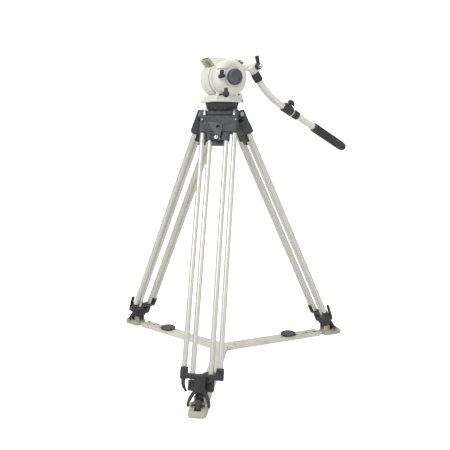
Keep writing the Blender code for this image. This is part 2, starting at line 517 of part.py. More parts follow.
def build_pan_bar():
    turn = Matrix.Rotation(math.radians(HEAD_YAW_DEG), 4, "Z")
    tilt = bpy.data.objects["tilt_frame"]
    arm = box((0.070, 0.0175, 1.0510), (0.140, 0.0310, 1.0715), 0.003, 2)
    boss = rod((BAR_PIVOT.x, 0.0158, BAR_PIVOT.z), (BAR_PIVOT.x, 0.0340, BAR_PIVOT.z), BAR_BOSS_R)
    foot = box((0.0603, -0.012, 1.0495), (0.078, 0.0325, 1.0723), 0.002)
    bracket = combine(arm, [boss, foot])
    piece("bar_bracket", moved(bracket, (0, 0, TILT_Z)), tilt, "cream_paint")

    bar = empty("bar_frame", turn @ Matrix.Translation(BAR_PIVOT))
    arc, lower = bar_path()
    upper = Vector((math.cos(math.radians(BAR_UPPER_DEG)), 0, math.sin(math.radians(BAR_UPPER_DEG))))
    collar_start = BAR_BEND_START - upper * (UPPER_COLLAR_LENGTH + 0.002)
    collar_end = BAR_BEND_START - upper * 0.002
    disc = rod((BAR_PIVOT.x, -0.0150, BAR_PIVOT.z), (BAR_PIVOT.x, 0.0155, BAR_PIVOT.z), BAR_BOSS_R)
    socket = rod(collar_start - upper * 0.026, collar_start - upper * GAP, 0.0145)
    bolt_bore = rod((BAR_PIVOT.x, -0.03, BAR_PIVOT.z), (BAR_PIVOT.x, 0.002, BAR_PIVOT.z), 0.004 + GAP, 16)
    piece("bar_clamp", moved(combine(disc, [socket], [bolt_bore]), BAR_PIVOT), bar, "cream_paint")

    lever = empty("bar_lever_frame", turn @ Matrix.Translation(BAR_PIVOT))
    barrel = turned([(0.0085, 0.0), (0.0110, 0.002), (0.0110, 0.018), (0.0085, 0.024), (0.006, 0.0275)],
                    (0, -1, 0), (0, -0.0153, 0), 24)
    bolt = rod((0, -0.018, 0), (0, 0.001, 0), 0.004, 16)
    stub = turned([(0.0065, 0.0), (0.0072, 0.012), (0.0080, 0.033), (0.0072, 0.036)], (-0.25, 0, 1.0),
                  (0, -0.024, 0.003), 16)
    piece("bar_clamp_lever", combine(barrel, [bolt, stub]), lever, "black_plastic")

    collar = turned([(0.0152, 0.0), (0.0160, 0.001), (0.0160, UPPER_COLLAR_LENGTH - 0.001),
                     (0.0152, UPPER_COLLAR_LENGTH)], upper, collar_start, 20)
    piece("bar_collar", moved(collar, BAR_PIVOT), bar, "black_plastic")
    start = collar_end + upper * GAP
    tube_end = arc[-1] + lower * BAR_STRAIGHT
    piece("bar_bent_tube", moved(sweep([start, *arc, tube_end], BAR_R, 16), BAR_PIVOT), bar, "cream_paint")
    lock_start = tube_end + lower * GAP
    lock = turned([(0.0165, 0.0), (0.0172, 0.001), (0.0172, LOCK_LENGTH - 0.001), (0.0165, LOCK_LENGTH)],
                  lower, lock_start, 20)
    side = Vector((-lower.z, 0, lower.x))
    ear = rod(lock_start + lower * 0.026 + side * 0.010, lock_start + lower * 0.026 + side * 0.0235, 0.0085, 20)
    spigot = rod(lock_start + lower * 0.01, lock_start + lower * (LOCK_TO_GRIP + 0.02), SPIGOT_R)
    piece("bar_lock_collar", moved(combine(lock, [ear, spigot]), BAR_PIVOT), bar, "black_plastic")

    wing_at = lock_start + lower * 0.026 + side * 0.0238
    wing = empty("wing_frame", turn @ Matrix.Translation(wing_at))
    cap = turned([(0.0080, 0.0), (0.0090, 0.002), (0.0085, 0.007)], side, (0, 0, 0), 20)
    blade = turned([(0.0035, -0.0165), (0.0045, -0.008), (0.0045, 0.008), (0.0035, 0.0165)], lower,
                   side * 0.008, 12)
    piece("bar_wing_knob", combine(cap, [blade]), wing, "black_plastic")

    ring_at = lock_start + lower * (LOCK_LENGTH + 0.0005)
    grip_at = lock_start + lower * LOCK_TO_GRIP
    tube = rod(ring_at + lower * 0.010, grip_at + lower * 0.030, BAR_R)
    tube_bore = rod(ring_at - lower * 0.010, lock_start + lower * (LOCK_TO_GRIP + 0.023), SPIGOT_R + GAP)
    ring = turned([(0.0172, 0.0), (0.0172, 0.0035), (0.0163, 0.0036), (0.0163, 0.032), (0.0153, 0.033)],
                  lower, ring_at, 20)
    piece("bar_extension_tube", moved(combine(tube, [ring], [tube_bore]), BAR_PIVOT), bar, "cream_paint")
    grip = turned([(0.0165, 0.0), (0.0180, 0.002), (0.0178, GRIP_LENGTH - 0.0275), (0.0165, GRIP_LENGTH - 0.0145),
                   (0.0120, GRIP_LENGTH - 0.0045), (0.0060, GRIP_LENGTH)], lower, grip_at, 20)
    grip_bore = rod(grip_at - lower * 0.01, grip_at + lower * 0.031, BAR_R + GAP)
    piece("bar_grip", moved(combine(grip, cut=[grip_bore]), BAR_PIVOT), bar, "rubber")


def main():
    clear_scene()
    build_crown()
    build_legs()
    build_spreader()
    build_head()
    build_pan_bar()
    bpy.context.view_layer.update()


main()
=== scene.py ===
import json
import math

import bmesh
import bpy
from mathutils import Matrix, Vector


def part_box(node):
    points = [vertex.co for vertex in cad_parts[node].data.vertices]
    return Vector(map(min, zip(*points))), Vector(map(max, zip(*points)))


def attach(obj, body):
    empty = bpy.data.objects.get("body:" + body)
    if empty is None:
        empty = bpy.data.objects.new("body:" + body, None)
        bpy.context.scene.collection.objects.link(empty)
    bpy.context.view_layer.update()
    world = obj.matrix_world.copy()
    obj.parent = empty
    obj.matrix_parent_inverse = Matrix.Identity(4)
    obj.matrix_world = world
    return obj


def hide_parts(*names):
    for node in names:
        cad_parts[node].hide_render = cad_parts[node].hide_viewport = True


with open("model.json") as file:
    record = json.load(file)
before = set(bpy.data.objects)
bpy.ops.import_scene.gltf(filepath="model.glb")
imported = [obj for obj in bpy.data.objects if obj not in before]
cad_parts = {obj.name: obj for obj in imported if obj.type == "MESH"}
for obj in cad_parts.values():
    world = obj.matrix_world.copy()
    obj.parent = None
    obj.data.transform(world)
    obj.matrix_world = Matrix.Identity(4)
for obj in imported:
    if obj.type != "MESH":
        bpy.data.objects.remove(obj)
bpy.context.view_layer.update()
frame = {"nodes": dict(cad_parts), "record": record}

bl_info = {
    "name": "Fluid head tripod finish",
    "version": (1, 0, 0),
    "blender": (4, 5, 0),
    "location": "View3D > Sidebar > Tripod",
    "description": "Detailed surfaces for a fluid head on a tripod with a ground spreader",
    "category": "Object",
}

JOINTS = {joint["name"]: joint for joint in frame["record"]["behaviour"]["joints"]}
LEGS = (1, 2, 3)
PLATFORM_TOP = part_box("tilt_body")[1][2]
DRUM_CENTRE_Z = JOINTS["tilt_turn"]["pos_m"][2]


# ---------------------------------------------------------------- frames taken from the joints
def frame_from(origin, x_axis, z_axis):
    x_axis, z_axis = Vector(x_axis).normalized(), Vector(z_axis).normalized()
    y_axis = z_axis.cross(x_axis)
    turn = Matrix((x_axis, y_axis, z_axis)).transposed().to_4x4()
    return Matrix.Translation(origin) @ turn


def leg_frame(n):
    """Origin on the crown pin, Z up the leg, X out of the leg's face, Y along the pin."""
    down = Vector(JOINTS[f"leg_{n}_extension"]["axis"])
    pin = -Vector(JOINTS[f"leg_{n}_spread"]["axis"])
    return frame_from(JOINTS[f"leg_{n}_spread"]["pos_m"], pin.cross(-down), -down)


def arm_frame(n):
    """Origin under the hub on the floor, X out along the spreader arm, Z up."""
    return frame_from((0, 0, 0), JOINTS[f"slider_{n}_slide"]["axis"], (0, 0, 1))


def head_frame(height=0.0):
    """X to the operator, -Y to the side with the drag knob, Z up."""
    return frame_from((0, 0, height), JOINTS["plate_slide"]["axis"], (0, 0, 1))


def local_point(matrix, joint):
    return matrix.inverted() @ Vector(JOINTS[joint]["pos_m"])


def local_axis(matrix, joint):
    return matrix.inverted().to_3x3() @ Vector(JOINTS[joint]["axis"])


LEG_LENGTH = (Vector(JOINTS["leg_1_spread"]["pos_m"]) - Vector(JOINTS["pad_1_level"]["pos_m"])).length


# ---------------------------------------------------------------- settings
class TripodSizes(bpy.types.PropertyGroup):
    tube_radius: bpy.props.FloatProperty(name="Tube radius", description="Outside radius of a leg tube",
                                         default=0.0085, min=0.005, max=0.02, unit="LENGTH")
    drum_radius: bpy.props.FloatProperty(name="Drum radius", description="Radius of the fluid head's drum",
                                         default=0.0625, min=0.04, max=0.1, unit="LENGTH")
    knob_radius: bpy.props.FloatProperty(name="Drag knob radius", description="Radius of the large drag knob",
                                         default=0.0275, min=0.015, max=0.03, unit="LENGTH")
    edge: bpy.props.FloatProperty(name="Edge break", description="Width of the rounding on cast edges",
                                  default=0.0009, min=0.0002, max=0.002, unit="LENGTH")
    bowl_ribs: bpy.props.IntProperty(name="Bowl ribs", description="Ribs round the outside of the bowl",
                                     default=18, min=6, max=40)
    knurls: bpy.props.IntProperty(name="Knurls", description="Grip ridges round a knob", default=40, min=12, max=90)


class TripodFinish(bpy.types.PropertyGroup):
    cream: bpy.props.FloatVectorProperty(name="Cream paint", description="Paint on the head and the pan bar",
                                         default=(0.86, 0.85, 0.77), subtype="COLOR")
    tube: bpy.props.FloatVectorProperty(name="Tubes", description="Anodised leg tubes",
                                        default=(0.72, 0.72, 0.655), subtype="COLOR")
    casting: bpy.props.FloatVectorProperty(name="Castings", description="Dark paint on the leg castings",
                                           default=(0.055, 0.057, 0.063), subtype="COLOR")
    black: bpy.props.FloatVectorProperty(name="Black plastic", description="Levers, collars and small knobs",
                                         default=(0.030, 0.030, 0.033), subtype="COLOR")
    knob: bpy.props.FloatVectorProperty(name="Grey plastic", description="Drag knob and spreader knobs",
                                        default=(0.085, 0.087, 0.093), subtype="COLOR")
    spreader: bpy.props.FloatVectorProperty(name="Spreader paint", description="Paint on the ground spreader",
                                            default=(0.77, 0.745, 0.655), subtype="COLOR")
    # The end pads' own colour; the same colour is also used as painted shade at the back of the platform mouth.
    pad: bpy.props.FloatVectorProperty(name="End pads", description="Rubber pads at the ends of the spreader",
                                       default=(0.52, 0.50, 0.41), subtype="COLOR")
    wear: bpy.props.FloatProperty(name="Wear", description="How much use the surfaces show", default=1.0,
                                  min=0.0, max=2.0, subtype="FACTOR")


def sizes():
    return bpy.context.scene.tripod_sizes


def finish_settings():
    return bpy.context.scene.tripod_finish


# ---------------------------------------------------------------- shader node groups
def group_tree(name, inputs, outputs):
    tree = bpy.data.node_groups.new(name, "ShaderNodeTree")
    for label, kind, default in inputs:
        socket = tree.interface.new_socket(name=label, in_out="INPUT", socket_type=kind)
        if default is not None:
            socket.default_value = default
    for label, kind in outputs:
        tree.interface.new_socket(name=label, in_out="OUTPUT", socket_type=kind)
    return tree, tree.nodes.new("NodeGroupInput"), tree.nodes.new("NodeGroupOutput")


def add_node(tree, kind, settings=None, values=None):
    node = tree.nodes.new(kind)
    for key, value in (settings or {}).items():
        setattr(node, key, value)
    for key, value in (values or {}).items():
        node.inputs[key].default_value = value
    return node


def math_node(tree, operation, first, second=None, clamp=False):
    node = add_node(tree, "ShaderNodeMath", {"operation": operation, "use_clamp": clamp})
    for index, value in enumerate((first, second)):
        if value is None:
            continue
        if isinstance(value, (int, float)):
            node.inputs[index].default_value = value
        else:
            tree.links.new(value, node.inputs[index])
    return node.outputs[0]


def noise(tree, vector, scale, detail=3.0, roughness=0.55):
    node = add_node(tree, "ShaderNodeTexNoise", values={"Detail": detail, "Roughness": roughness})
    tree.links.new(vector, node.inputs["Vector"])
    if isinstance(scale, (int, float)):
        node.inputs["Scale"].default_value = scale
    else:
        tree.links.new(scale, node.inputs["Scale"])
    return node.outputs["Fac"]


def band(tree, value, low, high):
    """Zero below low, one above high."""
    node = add_node(tree, "ShaderNodeMapRange", {"clamp": True}, {"From Min": low, "From Max": high})
    tree.links.new(value, node.inputs["Value"])
    return node.outputs["Result"]


def edge_wear_group():
    """Worn edges: one where a corner is sharp and a noise lets the paint chip."""
    tree, source, sink = group_tree("edge_wear", [("Vector", "NodeSocketVector", None),
                                                 ("Width", "NodeSocketFloat", 0.0015),
                                                 ("Amount", "NodeSocketFloat", 1.0)],
                                    [("Mask", "NodeSocketFloat")])
    soft = add_node(tree, "ShaderNodeBevel", {"samples": 4})
    tree.links.new(source.outputs["Width"], soft.inputs["Radius"])
    flat = add_node(tree, "ShaderNodeNewGeometry")
    dot = add_node(tree, "ShaderNodeVectorMath", {"operation": "DOT_PRODUCT"})
    tree.links.new(soft.outputs["Normal"], dot.inputs[0])
    tree.links.new(flat.outputs["Normal"], dot.inputs[1])
    sharp = band(tree, math_node(tree, "SUBTRACT", 1.0, dot.outputs["Value"]), 0.02, 0.22)
    chips = band(tree, noise(tree, source.outputs["Vector"], 90.0, 4.0), 0.44, 0.60)
    mask = math_node(tree, "MULTIPLY", sharp, chips)
    tree.links.new(math_node(tree, "MULTIPLY", mask, source.outputs["Amount"], True), sink.inputs["Mask"])
    return tree


def grain_group():
    """Fine height: orange peel, cast sand or moulded grain, by scale."""
    tree, source, sink = group_tree("surface_grain", [("Vector", "NodeSocketVector", None),
                                                     ("Scale", "NodeSocketFloat", 600.0)],
                                    [("Height", "NodeSocketFloat")])
    fine = noise(tree, source.outputs["Vector"], source.outputs["Scale"], 2.0, 0.6)
    third = math_node(tree, "MULTIPLY", source.outputs["Scale"], 0.3)
    coarse = noise(tree, source.outputs["Vector"], third, 2.0)
    total = math_node(tree, "ADD", math_node(tree, "MULTIPLY", fine, 0.6), math_node(tree, "MULTIPLY", coarse, 0.4))
    tree.links.new(total, sink.inputs["Height"])
    return tree


def dust_group():
    """Dust and grime: settled on faces that look up, and in soft blotches."""
    tree, source, sink = group_tree("dust", [("Vector", "NodeSocketVector", None),
                                            ("Blotch Scale", "NodeSocketFloat", 18.0),
                                            ("Amount", "NodeSocketFloat", 0.5)],
                                    [("Mask", "NodeSocketFloat")])
    flat = add_node(tree, "ShaderNodeNewGeometry")
    parts = add_node(tree, "ShaderNodeSeparateXYZ")
    tree.links.new(flat.outputs["Normal"], parts.inputs[0])
    upward = band(tree, parts.outputs["Z"], 0.2, 1.0)
    blotch = band(tree, noise(tree, source.outputs["Vector"], source.outputs["Blotch Scale"], 5.0, 0.65), 0.42, 0.72)
    both = math_node(tree, "ADD", math_node(tree, "MULTIPLY", upward, 0.45), blotch)
    mask = math_node(tree, "MULTIPLY", math_node(tree, "MULTIPLY", both, blotch), source.outputs["Amount"], True)
    tree.links.new(mask, sink.inputs["Mask"])
    return tree


def streak_group():
    """Drawn-tube streaks: a noise that is long along Z and short round the tube."""
    tree, source, sink = group_tree("drawn_streaks", [("Vector", "NodeSocketVector", None),
                                                     ("Scale", "NodeSocketFloat", 260.0),
                                                     ("Length", "NodeSocketFloat", 0.0003)],
                                    [("Mask", "NodeSocketFloat")])
    parts = add_node(tree, "ShaderNodeSeparateXYZ")
    tree.links.new(source.outputs["Vector"], parts.inputs[0])
    joined = add_node(tree, "ShaderNodeCombineXYZ")
    tree.links.new(parts.outputs["X"], joined.inputs["X"])
    tree.links.new(parts.outputs["Y"], joined.inputs["Y"])
    tree.links.new(math_node(tree, "MULTIPLY", parts.outputs["Z"], source.outputs["Length"]), joined.inputs["Z"])
    tree.links.new(noise(tree, joined.outputs[0], source.outputs["Scale"], 3.0, 0.6), sink.inputs["Mask"])
    return tree


GROUP_MAKERS = {"edge_wear": edge_wear_group, "surface_grain": grain_group, "dust": dust_group,
                "drawn_streaks": streak_group}


def use_group(tree, name, vector, **values):
    data = bpy.data.node_groups.get(name) or GROUP_MAKERS[name]()
    node = add_node(tree, "ShaderNodeGroup", {"node_tree": data})
    for key, value in values.items():
        node.inputs[key.replace("_", " ")].default_value = value
    tree.links.new(vector, node.inputs["Vector"])
    return node.outputs[0]


# ---------------------------------------------------------------- materials
# colour of the worn edge, colour of the dirt, roughness clean and dirty, metallic, grain scale and depth, dust
RECIPES = {
    "cream": {"worn": (0.42, 0.40, 0.34), "dirt": (0.52, 0.47, 0.36), "rough": (0.36, 0.62), "metal": 0.0,
              "grain": 700.0, "depth": 0.00006, "dust": 0.35, "coat": 0.15, "wear": 0.45},
    "white": {"worn": (0.6, 0.6, 0.55), "dirt": (0.6, 0.58, 0.5), "rough": (0.35, 0.55), "metal": 0.0,
              "grain": 900.0, "depth": 0.00003, "dust": 0.2, "coat": 0.1, "wear": 0.2},
    "casting": {"worn": (0.42, 0.42, 0.43), "dirt": (0.17, 0.165, 0.15), "rough": (0.50, 0.75), "metal": 0.15,
                "grain": 520.0, "depth": 0.00028, "dust": 0.30, "coat": 0.0, "wear": 0.75},
    "black": {"worn": (0.14, 0.14, 0.145), "dirt": (0.10, 0.098, 0.09), "rough": (0.40, 0.66), "metal": 0.0,
              "grain": 900.0, "depth": 0.00008, "dust": 0.4, "coat": 0.0, "wear": 0.6},
    "knob": {"worn": (0.24, 0.24, 0.25), "dirt": (0.17, 0.165, 0.155), "rough": (0.46, 0.66), "metal": 0.0,
             "grain": 1000.0, "depth": 0.0001, "dust": 0.4, "coat": 0.0, "wear": 0.6},
    "rubber": {"worn": (0.10, 0.10, 0.10), "dirt": (0.13, 0.125, 0.11), "rough": (0.66, 0.85), "metal": 0.0,
               "grain": 800.0, "depth": 0.00015, "dust": 0.6, "coat": 0.0, "wear": 0.5},
    "pad": {"worn": (0.62, 0.60, 0.50), "dirt": (0.42, 0.38, 0.28), "rough": (0.62, 0.85), "metal": 0.0,
            "grain": 600.0, "depth": 0.0002, "dust": 0.8, "coat": 0.0, "wear": 0.7},
    "spreader": {"worn": (0.20, 0.13, 0.075), "dirt": (0.58, 0.54, 0.42), "rough": (0.40, 0.70), "metal": 0.0,
                 "grain": 650.0, "depth": 0.0001, "dust": 0.40, "coat": 0.08, "wear": 1.0, "marks": 1.0},
    "steel": {"worn": (0.60, 0.60, 0.59), "dirt": (0.22, 0.21, 0.19), "rough": (0.34, 0.56), "metal": 1.0,
              "grain": 1500.0, "depth": 0.00003, "dust": 0.35, "coat": 0.0, "wear": 0.3},
    "chrome": {"worn": (0.8, 0.8, 0.8), "dirt": (0.5, 0.5, 0.48), "rough": (0.10, 0.30), "metal": 1.0,
               "grain": 1500.0, "depth": 0.00001, "dust": 0.2, "coat": 0.0, "wear": 0.1},
    # The rust finish: real rust on the spreader marks, and painted shade inside the head's slit.
    "rust": {"worn": (0.24, 0.16, 0.10), "dirt": (0.40, 0.34, 0.25), "rough": (0.55, 0.80), "metal": 0.0,
             "grain": 700.0, "depth": 0.0001, "dust": 0.5, "coat": 0.0, "wear": 0.3},
    "brass": {"worn": (0.72, 0.58, 0.33), "dirt": (0.36, 0.29, 0.17), "rough": (0.30, 0.55), "metal": 0.85,
              "grain": 1200.0, "depth": 0.00003, "dust": 0.4, "coat": 0.0, "wear": 0.3},
}
# Plain colours; the rust colour is real rust on the spreader marks, and painted shade inside the head's slit.
PLAIN_COLOURS = {"rust": (0.15, 0.095, 0.06), "steel": (0.40, 0.40, 0.39), "chrome": (0.82, 0.82, 0.83),
                 "brass": (0.62, 0.50, 0.30), "rubber": (0.033, 0.033, 0.034), "white": (0.82, 0.82, 0.78)}


def base_colour(finish):
    return tuple(PLAIN_COLOURS.get(finish) or getattr(finish_settings(), finish))


def mix_colour(tree, factor, first, second):
    node = add_node(tree, "ShaderNodeMix", {"data_type": "RGBA"})
    tree.links.new(factor, node.inputs["Factor"])
    for socket, value in ((node.inputs[6], first), (node.inputs[7], second)):
        if isinstance(value, tuple):
            socket.default_value = (*value, 1.0)
        else:
            tree.links.new(value, socket)
    return node.outputs[2]


def local_vector(tree, own):
    """The piece's own coordinates where it carries them, Object coordinates otherwise."""
    if own:
        return add_node(tree, "ShaderNodeAttribute", {"attribute_name": "own_place"}).outputs["Vector"]
    return add_node(tree, "ShaderNodeTexCoord").outputs["Object"]


def connect_bump(tree, shader, height, depth):
    bump = add_node(tree, "ShaderNodeBump", values={"Strength": 1.0, "Distance": depth})
    tree.links.new(height, bump.inputs["Height"])
    tree.links.new(bump.outputs["Normal"], shader.inputs["Normal"])


def painted(name, finish, own):
    """Paint, plastic, rubber or plain metal with grain, dirt and worn edges."""
    recipe = RECIPES[finish]
    mat = bpy.data.materials.new(name)
    mat.use_nodes = True
    tree = mat.node_tree
    shader = tree.nodes["Principled BSDF"]
    vector = local_vector(tree, own)
    wear = finish_settings().wear
    tone = band(tree, noise(tree, vector, 7.0, 4.0), 0.3, 0.7)
    base = base_colour(finish)
    darker = tuple(c * 0.90 for c in base)
    colour = mix_colour(tree, tone, darker, base)
    dirt = use_group(tree, "dust", vector, Amount=recipe["dust"] * wear)
    colour = mix_colour(tree, dirt, colour, recipe["dirt"])
    worn = use_group(tree, "edge_wear", vector, Amount=recipe["wear"] * wear)
    colour = mix_colour(tree, worn, colour, recipe["worn"])
    if "marks" in recipe:
        scuffs = band(tree, noise(tree, vector, 46.0, 6.0, 0.62), 0.645, 0.665)
        colour = mix_colour(tree, scuffs, colour, recipe["worn"])
    tree.links.new(colour, shader.inputs["Base Color"])
    clean, dirty = recipe["rough"]
    smear = band(tree, noise(tree, vector, 34.0, 3.0), 0.3, 0.75)
    share = math_node(tree, "MAXIMUM", dirt, math_node(tree, "MULTIPLY", smear, 0.45))
    rough = math_node(tree, "MULTIPLY_ADD", share, dirty - clean)
    rough.node.inputs[2].default_value = clean
    tree.links.new(rough, shader.inputs["Roughness"])
    shader.inputs["Metallic"].default_value = recipe["metal"]
    shader.inputs["Coat Weight"].default_value = recipe["coat"]
    shader.inputs["Coat Roughness"].default_value = 0.25
    grain = use_group(tree, "surface_grain", vector, Scale=recipe["grain"])
    connect_bump(tree, shader, grain, recipe["depth"])
    return mat


def drawn_tube(name, own):
    """Anodised drawn aluminium: pale, slightly metallic, with long darker streaks."""
    mat = bpy.data.materials.new(name)
    mat.use_nodes = True
    tree = mat.node_tree
    shader = tree.nodes["Principled BSDF"]
    vector = local_vector(tree, own)
    base = base_colour("tube")
    streak = use_group(tree, "drawn_streaks", vector)
    colour = mix_colour(tree, band(tree, streak, 0.40, 0.72), base, tuple(c * 0.92 for c in base))
    blotch = use_group(tree, "dust", vector, Amount=0.10 * finish_settings().wear, Blotch_Scale=11.0)
    colour = mix_colour(tree, blotch, colour, (0.43, 0.41, 0.33))
    tree.links.new(colour, shader.inputs["Base Color"])
    rough = math_node(tree, "MULTIPLY_ADD", streak, 0.22)
    rough.node.inputs[2].default_value = 0.24
    tree.links.new(rough, shader.inputs["Roughness"])
    shader.inputs["Metallic"].default_value = 0.45
    return mat


def finish_material(finish, own=True):
    name = f"{finish}_{'own' if own else 'object'}"
    mat = bpy.data.materials.get(name)
    if mat is None:
        mat = drawn_tube(name, own) if finish == "tube" else painted(name, finish, own)
    return mat


# ---------------------------------------------------------------- mesh tools
def shape(name, bm):
    """The mesh in a new object, its faces turned outward."""
    bmesh.ops.recalc_face_normals(bm, faces=bm.faces)
    mesh = bpy.data.meshes.new(name)
    bm.to_mesh(mesh)
    bm.free()
    obj = bpy.data.objects.new(name, mesh)
    bpy.context.collection.objects.link(obj)
    return obj


def along(axis, centre):
    """A frame at centre whose Z runs along axis."""
    turn = Vector(axis).normalized().to_track_quat("Z", "Y").to_matrix().to_4x4()
    return Matrix.Translation(centre) @ turn


def block(low, high, bevel=0.0, segments=2):
    """A block between two corners, its edges rounded by bevel."""
    bm = bmesh.new()
    size = [b - a for a, b in zip(low, high)]
    middle = [(a + b) / 2 for a, b in zip(low, high)]
    bmesh.ops.create_cube(bm, size=1.0, matrix=Matrix.Translation(middle) @ Matrix.Diagonal((*size, 1.0)))
    if bevel:
        bmesh.ops.bevel(bm, geom=bm.edges[:], offset=bevel, segments=segments, profile=0.6, affect="EDGES")
    return shape("block", bm)


def turned(profile, axis=(0, 0, 1), centre=(0, 0, 0), sides=48):
    """A solid of revolution from (radius, height) pairs, bottom to top; radius 0 closes on the axis."""
    place = along(axis, centre)
    bm = bmesh.new()
    rings = []
    for radius, height in profile:
        count = 1 if radius == 0 else sides
        rings.append([bm.verts.new(place @ Vector((radius * math.cos(2 * math.pi * i / sides),
                                                   radius * math.sin(2 * math.pi * i / sides), height)))
                      for i in range(count)])
    for lower, upper in zip(rings, rings[1:]):
        for i in range(sides):
            j = (i + 1) % sides
            corners = [lower[i % len(lower)], lower[j % len(lower)], upper[j % len(upper)], upper[i % len(upper)]]
            bm.faces.new(list(dict.fromkeys(corners)))
    for ring in (rings[0], rings[-1]):
        if len(ring) > 1:
            bm.faces.new(ring)
    return shape("turned", bm)


def rod(start, end, radius, sides=32, edge=0.0):
    """A round bar from start to end, its ends chamfered by edge."""
    start, end = Vector(start), Vector(end)
    length = (end - start).length
    profile = [(radius, 0.0), (radius, length)]
    if edge:
        profile = [(radius - edge, 0.0), (radius, edge), (radius, length - edge), (radius - edge, length)]
    return turned(profile, end - start, start, sides)


def prism(outline, axis, low, high):
    """An outline extruded from low to high: of (x, z) points along Y, of (y, z) points along X."""
    bm = bmesh.new()
    lower = [bm.verts.new((p[0], low, p[1]) if axis == "Y" else (low, p[0], p[1])) for p in outline]
    upper = [bm.verts.new((p[0], high, p[1]) if axis == "Y" else (high, p[0], p[1])) for p in outline]
    bm.faces.new(lower)
    bm.faces.new(upper[::-1])
    for i in range(len(outline)):
        j = (i + 1) % len(outline)
        bm.faces.new((lower[i], upper[i], upper[j], lower[j]))
    return shape("prism", bm)


def both_sides(points):
    """An outline from its half: the points, then their mirror images back to the start."""
    return [*points, *[(-y, z) for y, z in reversed(points)]]


def rounded_loop(half_x, half_y, radius, height, steps=8):
    """A level rectangle with round corners, as a list of points."""
    points = []
    for cx, cy, start in ((1, 1, 0), (-1, 1, 90), (-1, -1, 180), (1, -1, 270)):
        for step in range(steps + 1):
            angle = math.radians(start + 90 * step / steps)
            points.append(Vector((cx * (half_x - radius) + radius * math.cos(angle),
                                  cy * (half_y - radius) + radius * math.sin(angle), height)))
    return points


def loft(loops):
    """A closed skin over loops of equally many points, from the bottom up."""
    bm = bmesh.new()
    rings = [[bm.verts.new(p) for p in loop] for loop in loops]
    for lower, upper in zip(rings, rings[1:]):
        for i in range(len(lower)):
            j = (i + 1) % len(lower)
            bm.faces.new((lower[i], lower[j], upper[j], upper[i]))
    bm.faces.new(rings[0][::-1])
    bm.faces.new(rings[-1])
    return shape("loft", bm)


def evaluated(obj):
    """A plain mesh of what the object's modifiers give."""
    graph = bpy.context.evaluated_depsgraph_get()
    graph.update()
    return bpy.data.meshes.new_from_object(obj.evaluated_get(graph))


def combine(base, join=(), cut=()):
    """Base united with the first list, then cut by the second, one tool at a time."""
    for operation, tool in (*(("UNION", tool) for tool in join), *(("DIFFERENCE", tool) for tool in cut)):
        modifier = base.modifiers.new(operation, "BOOLEAN")
        modifier.operation = operation
        modifier.solver = "EXACT"
        modifier.object = tool
        mesh = evaluated(base)
        base.modifiers.clear()
        base.data = mesh
        bpy.data.objects.remove(tool, do_unlink=True)
    return base


def group_of(objects):
    """Several closed shapes in one mesh, for pieces that touch without a shared wall."""
    bm = bmesh.new()
    for obj in objects:
        bm.from_mesh(obj.data)
        bpy.data.objects.remove(obj, do_unlink=True)
    mesh = bpy.data.meshes.new("group")
    bm.to_mesh(mesh)
    bm.free()
    obj = bpy.data.objects.new("group", mesh)
    bpy.context.collection.objects.link(obj)
    return obj


def finish_piece(name, obj, place, finish, body, *nodes, edge=None):
    """Breaks the edges, keeps each point's own coordinates, puts the piece in its place and on its body."""
    width = sizes().edge if edge is None else edge
    if width:
        modifier = obj.modifiers.new("edges", "BEVEL")
        modifier.width = width
        modifier.segments = 2
        modifier.limit_method = "ANGLE"
        modifier.angle_limit = math.radians(38)
        mesh = evaluated(obj)
        obj.modifiers.clear()
        obj.data = mesh
    mesh = obj.data
    own = mesh.attributes.new("own_place", "FLOAT_VECTOR", "POINT")
    own.data.foreach_set("vector", [value for vertex in mesh.vertices for value in vertex.co])
    mesh.transform(place)
    obj.name = name
    mesh.name = name
    mesh.materials.clear()
    mesh.materials.append(finish_material(finish))
    mesh.shade_smooth()
    mesh.set_sharp_from_angle(angle=math.radians(32))
    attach(obj, body)
    if nodes:
        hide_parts(*nodes)
    return obj


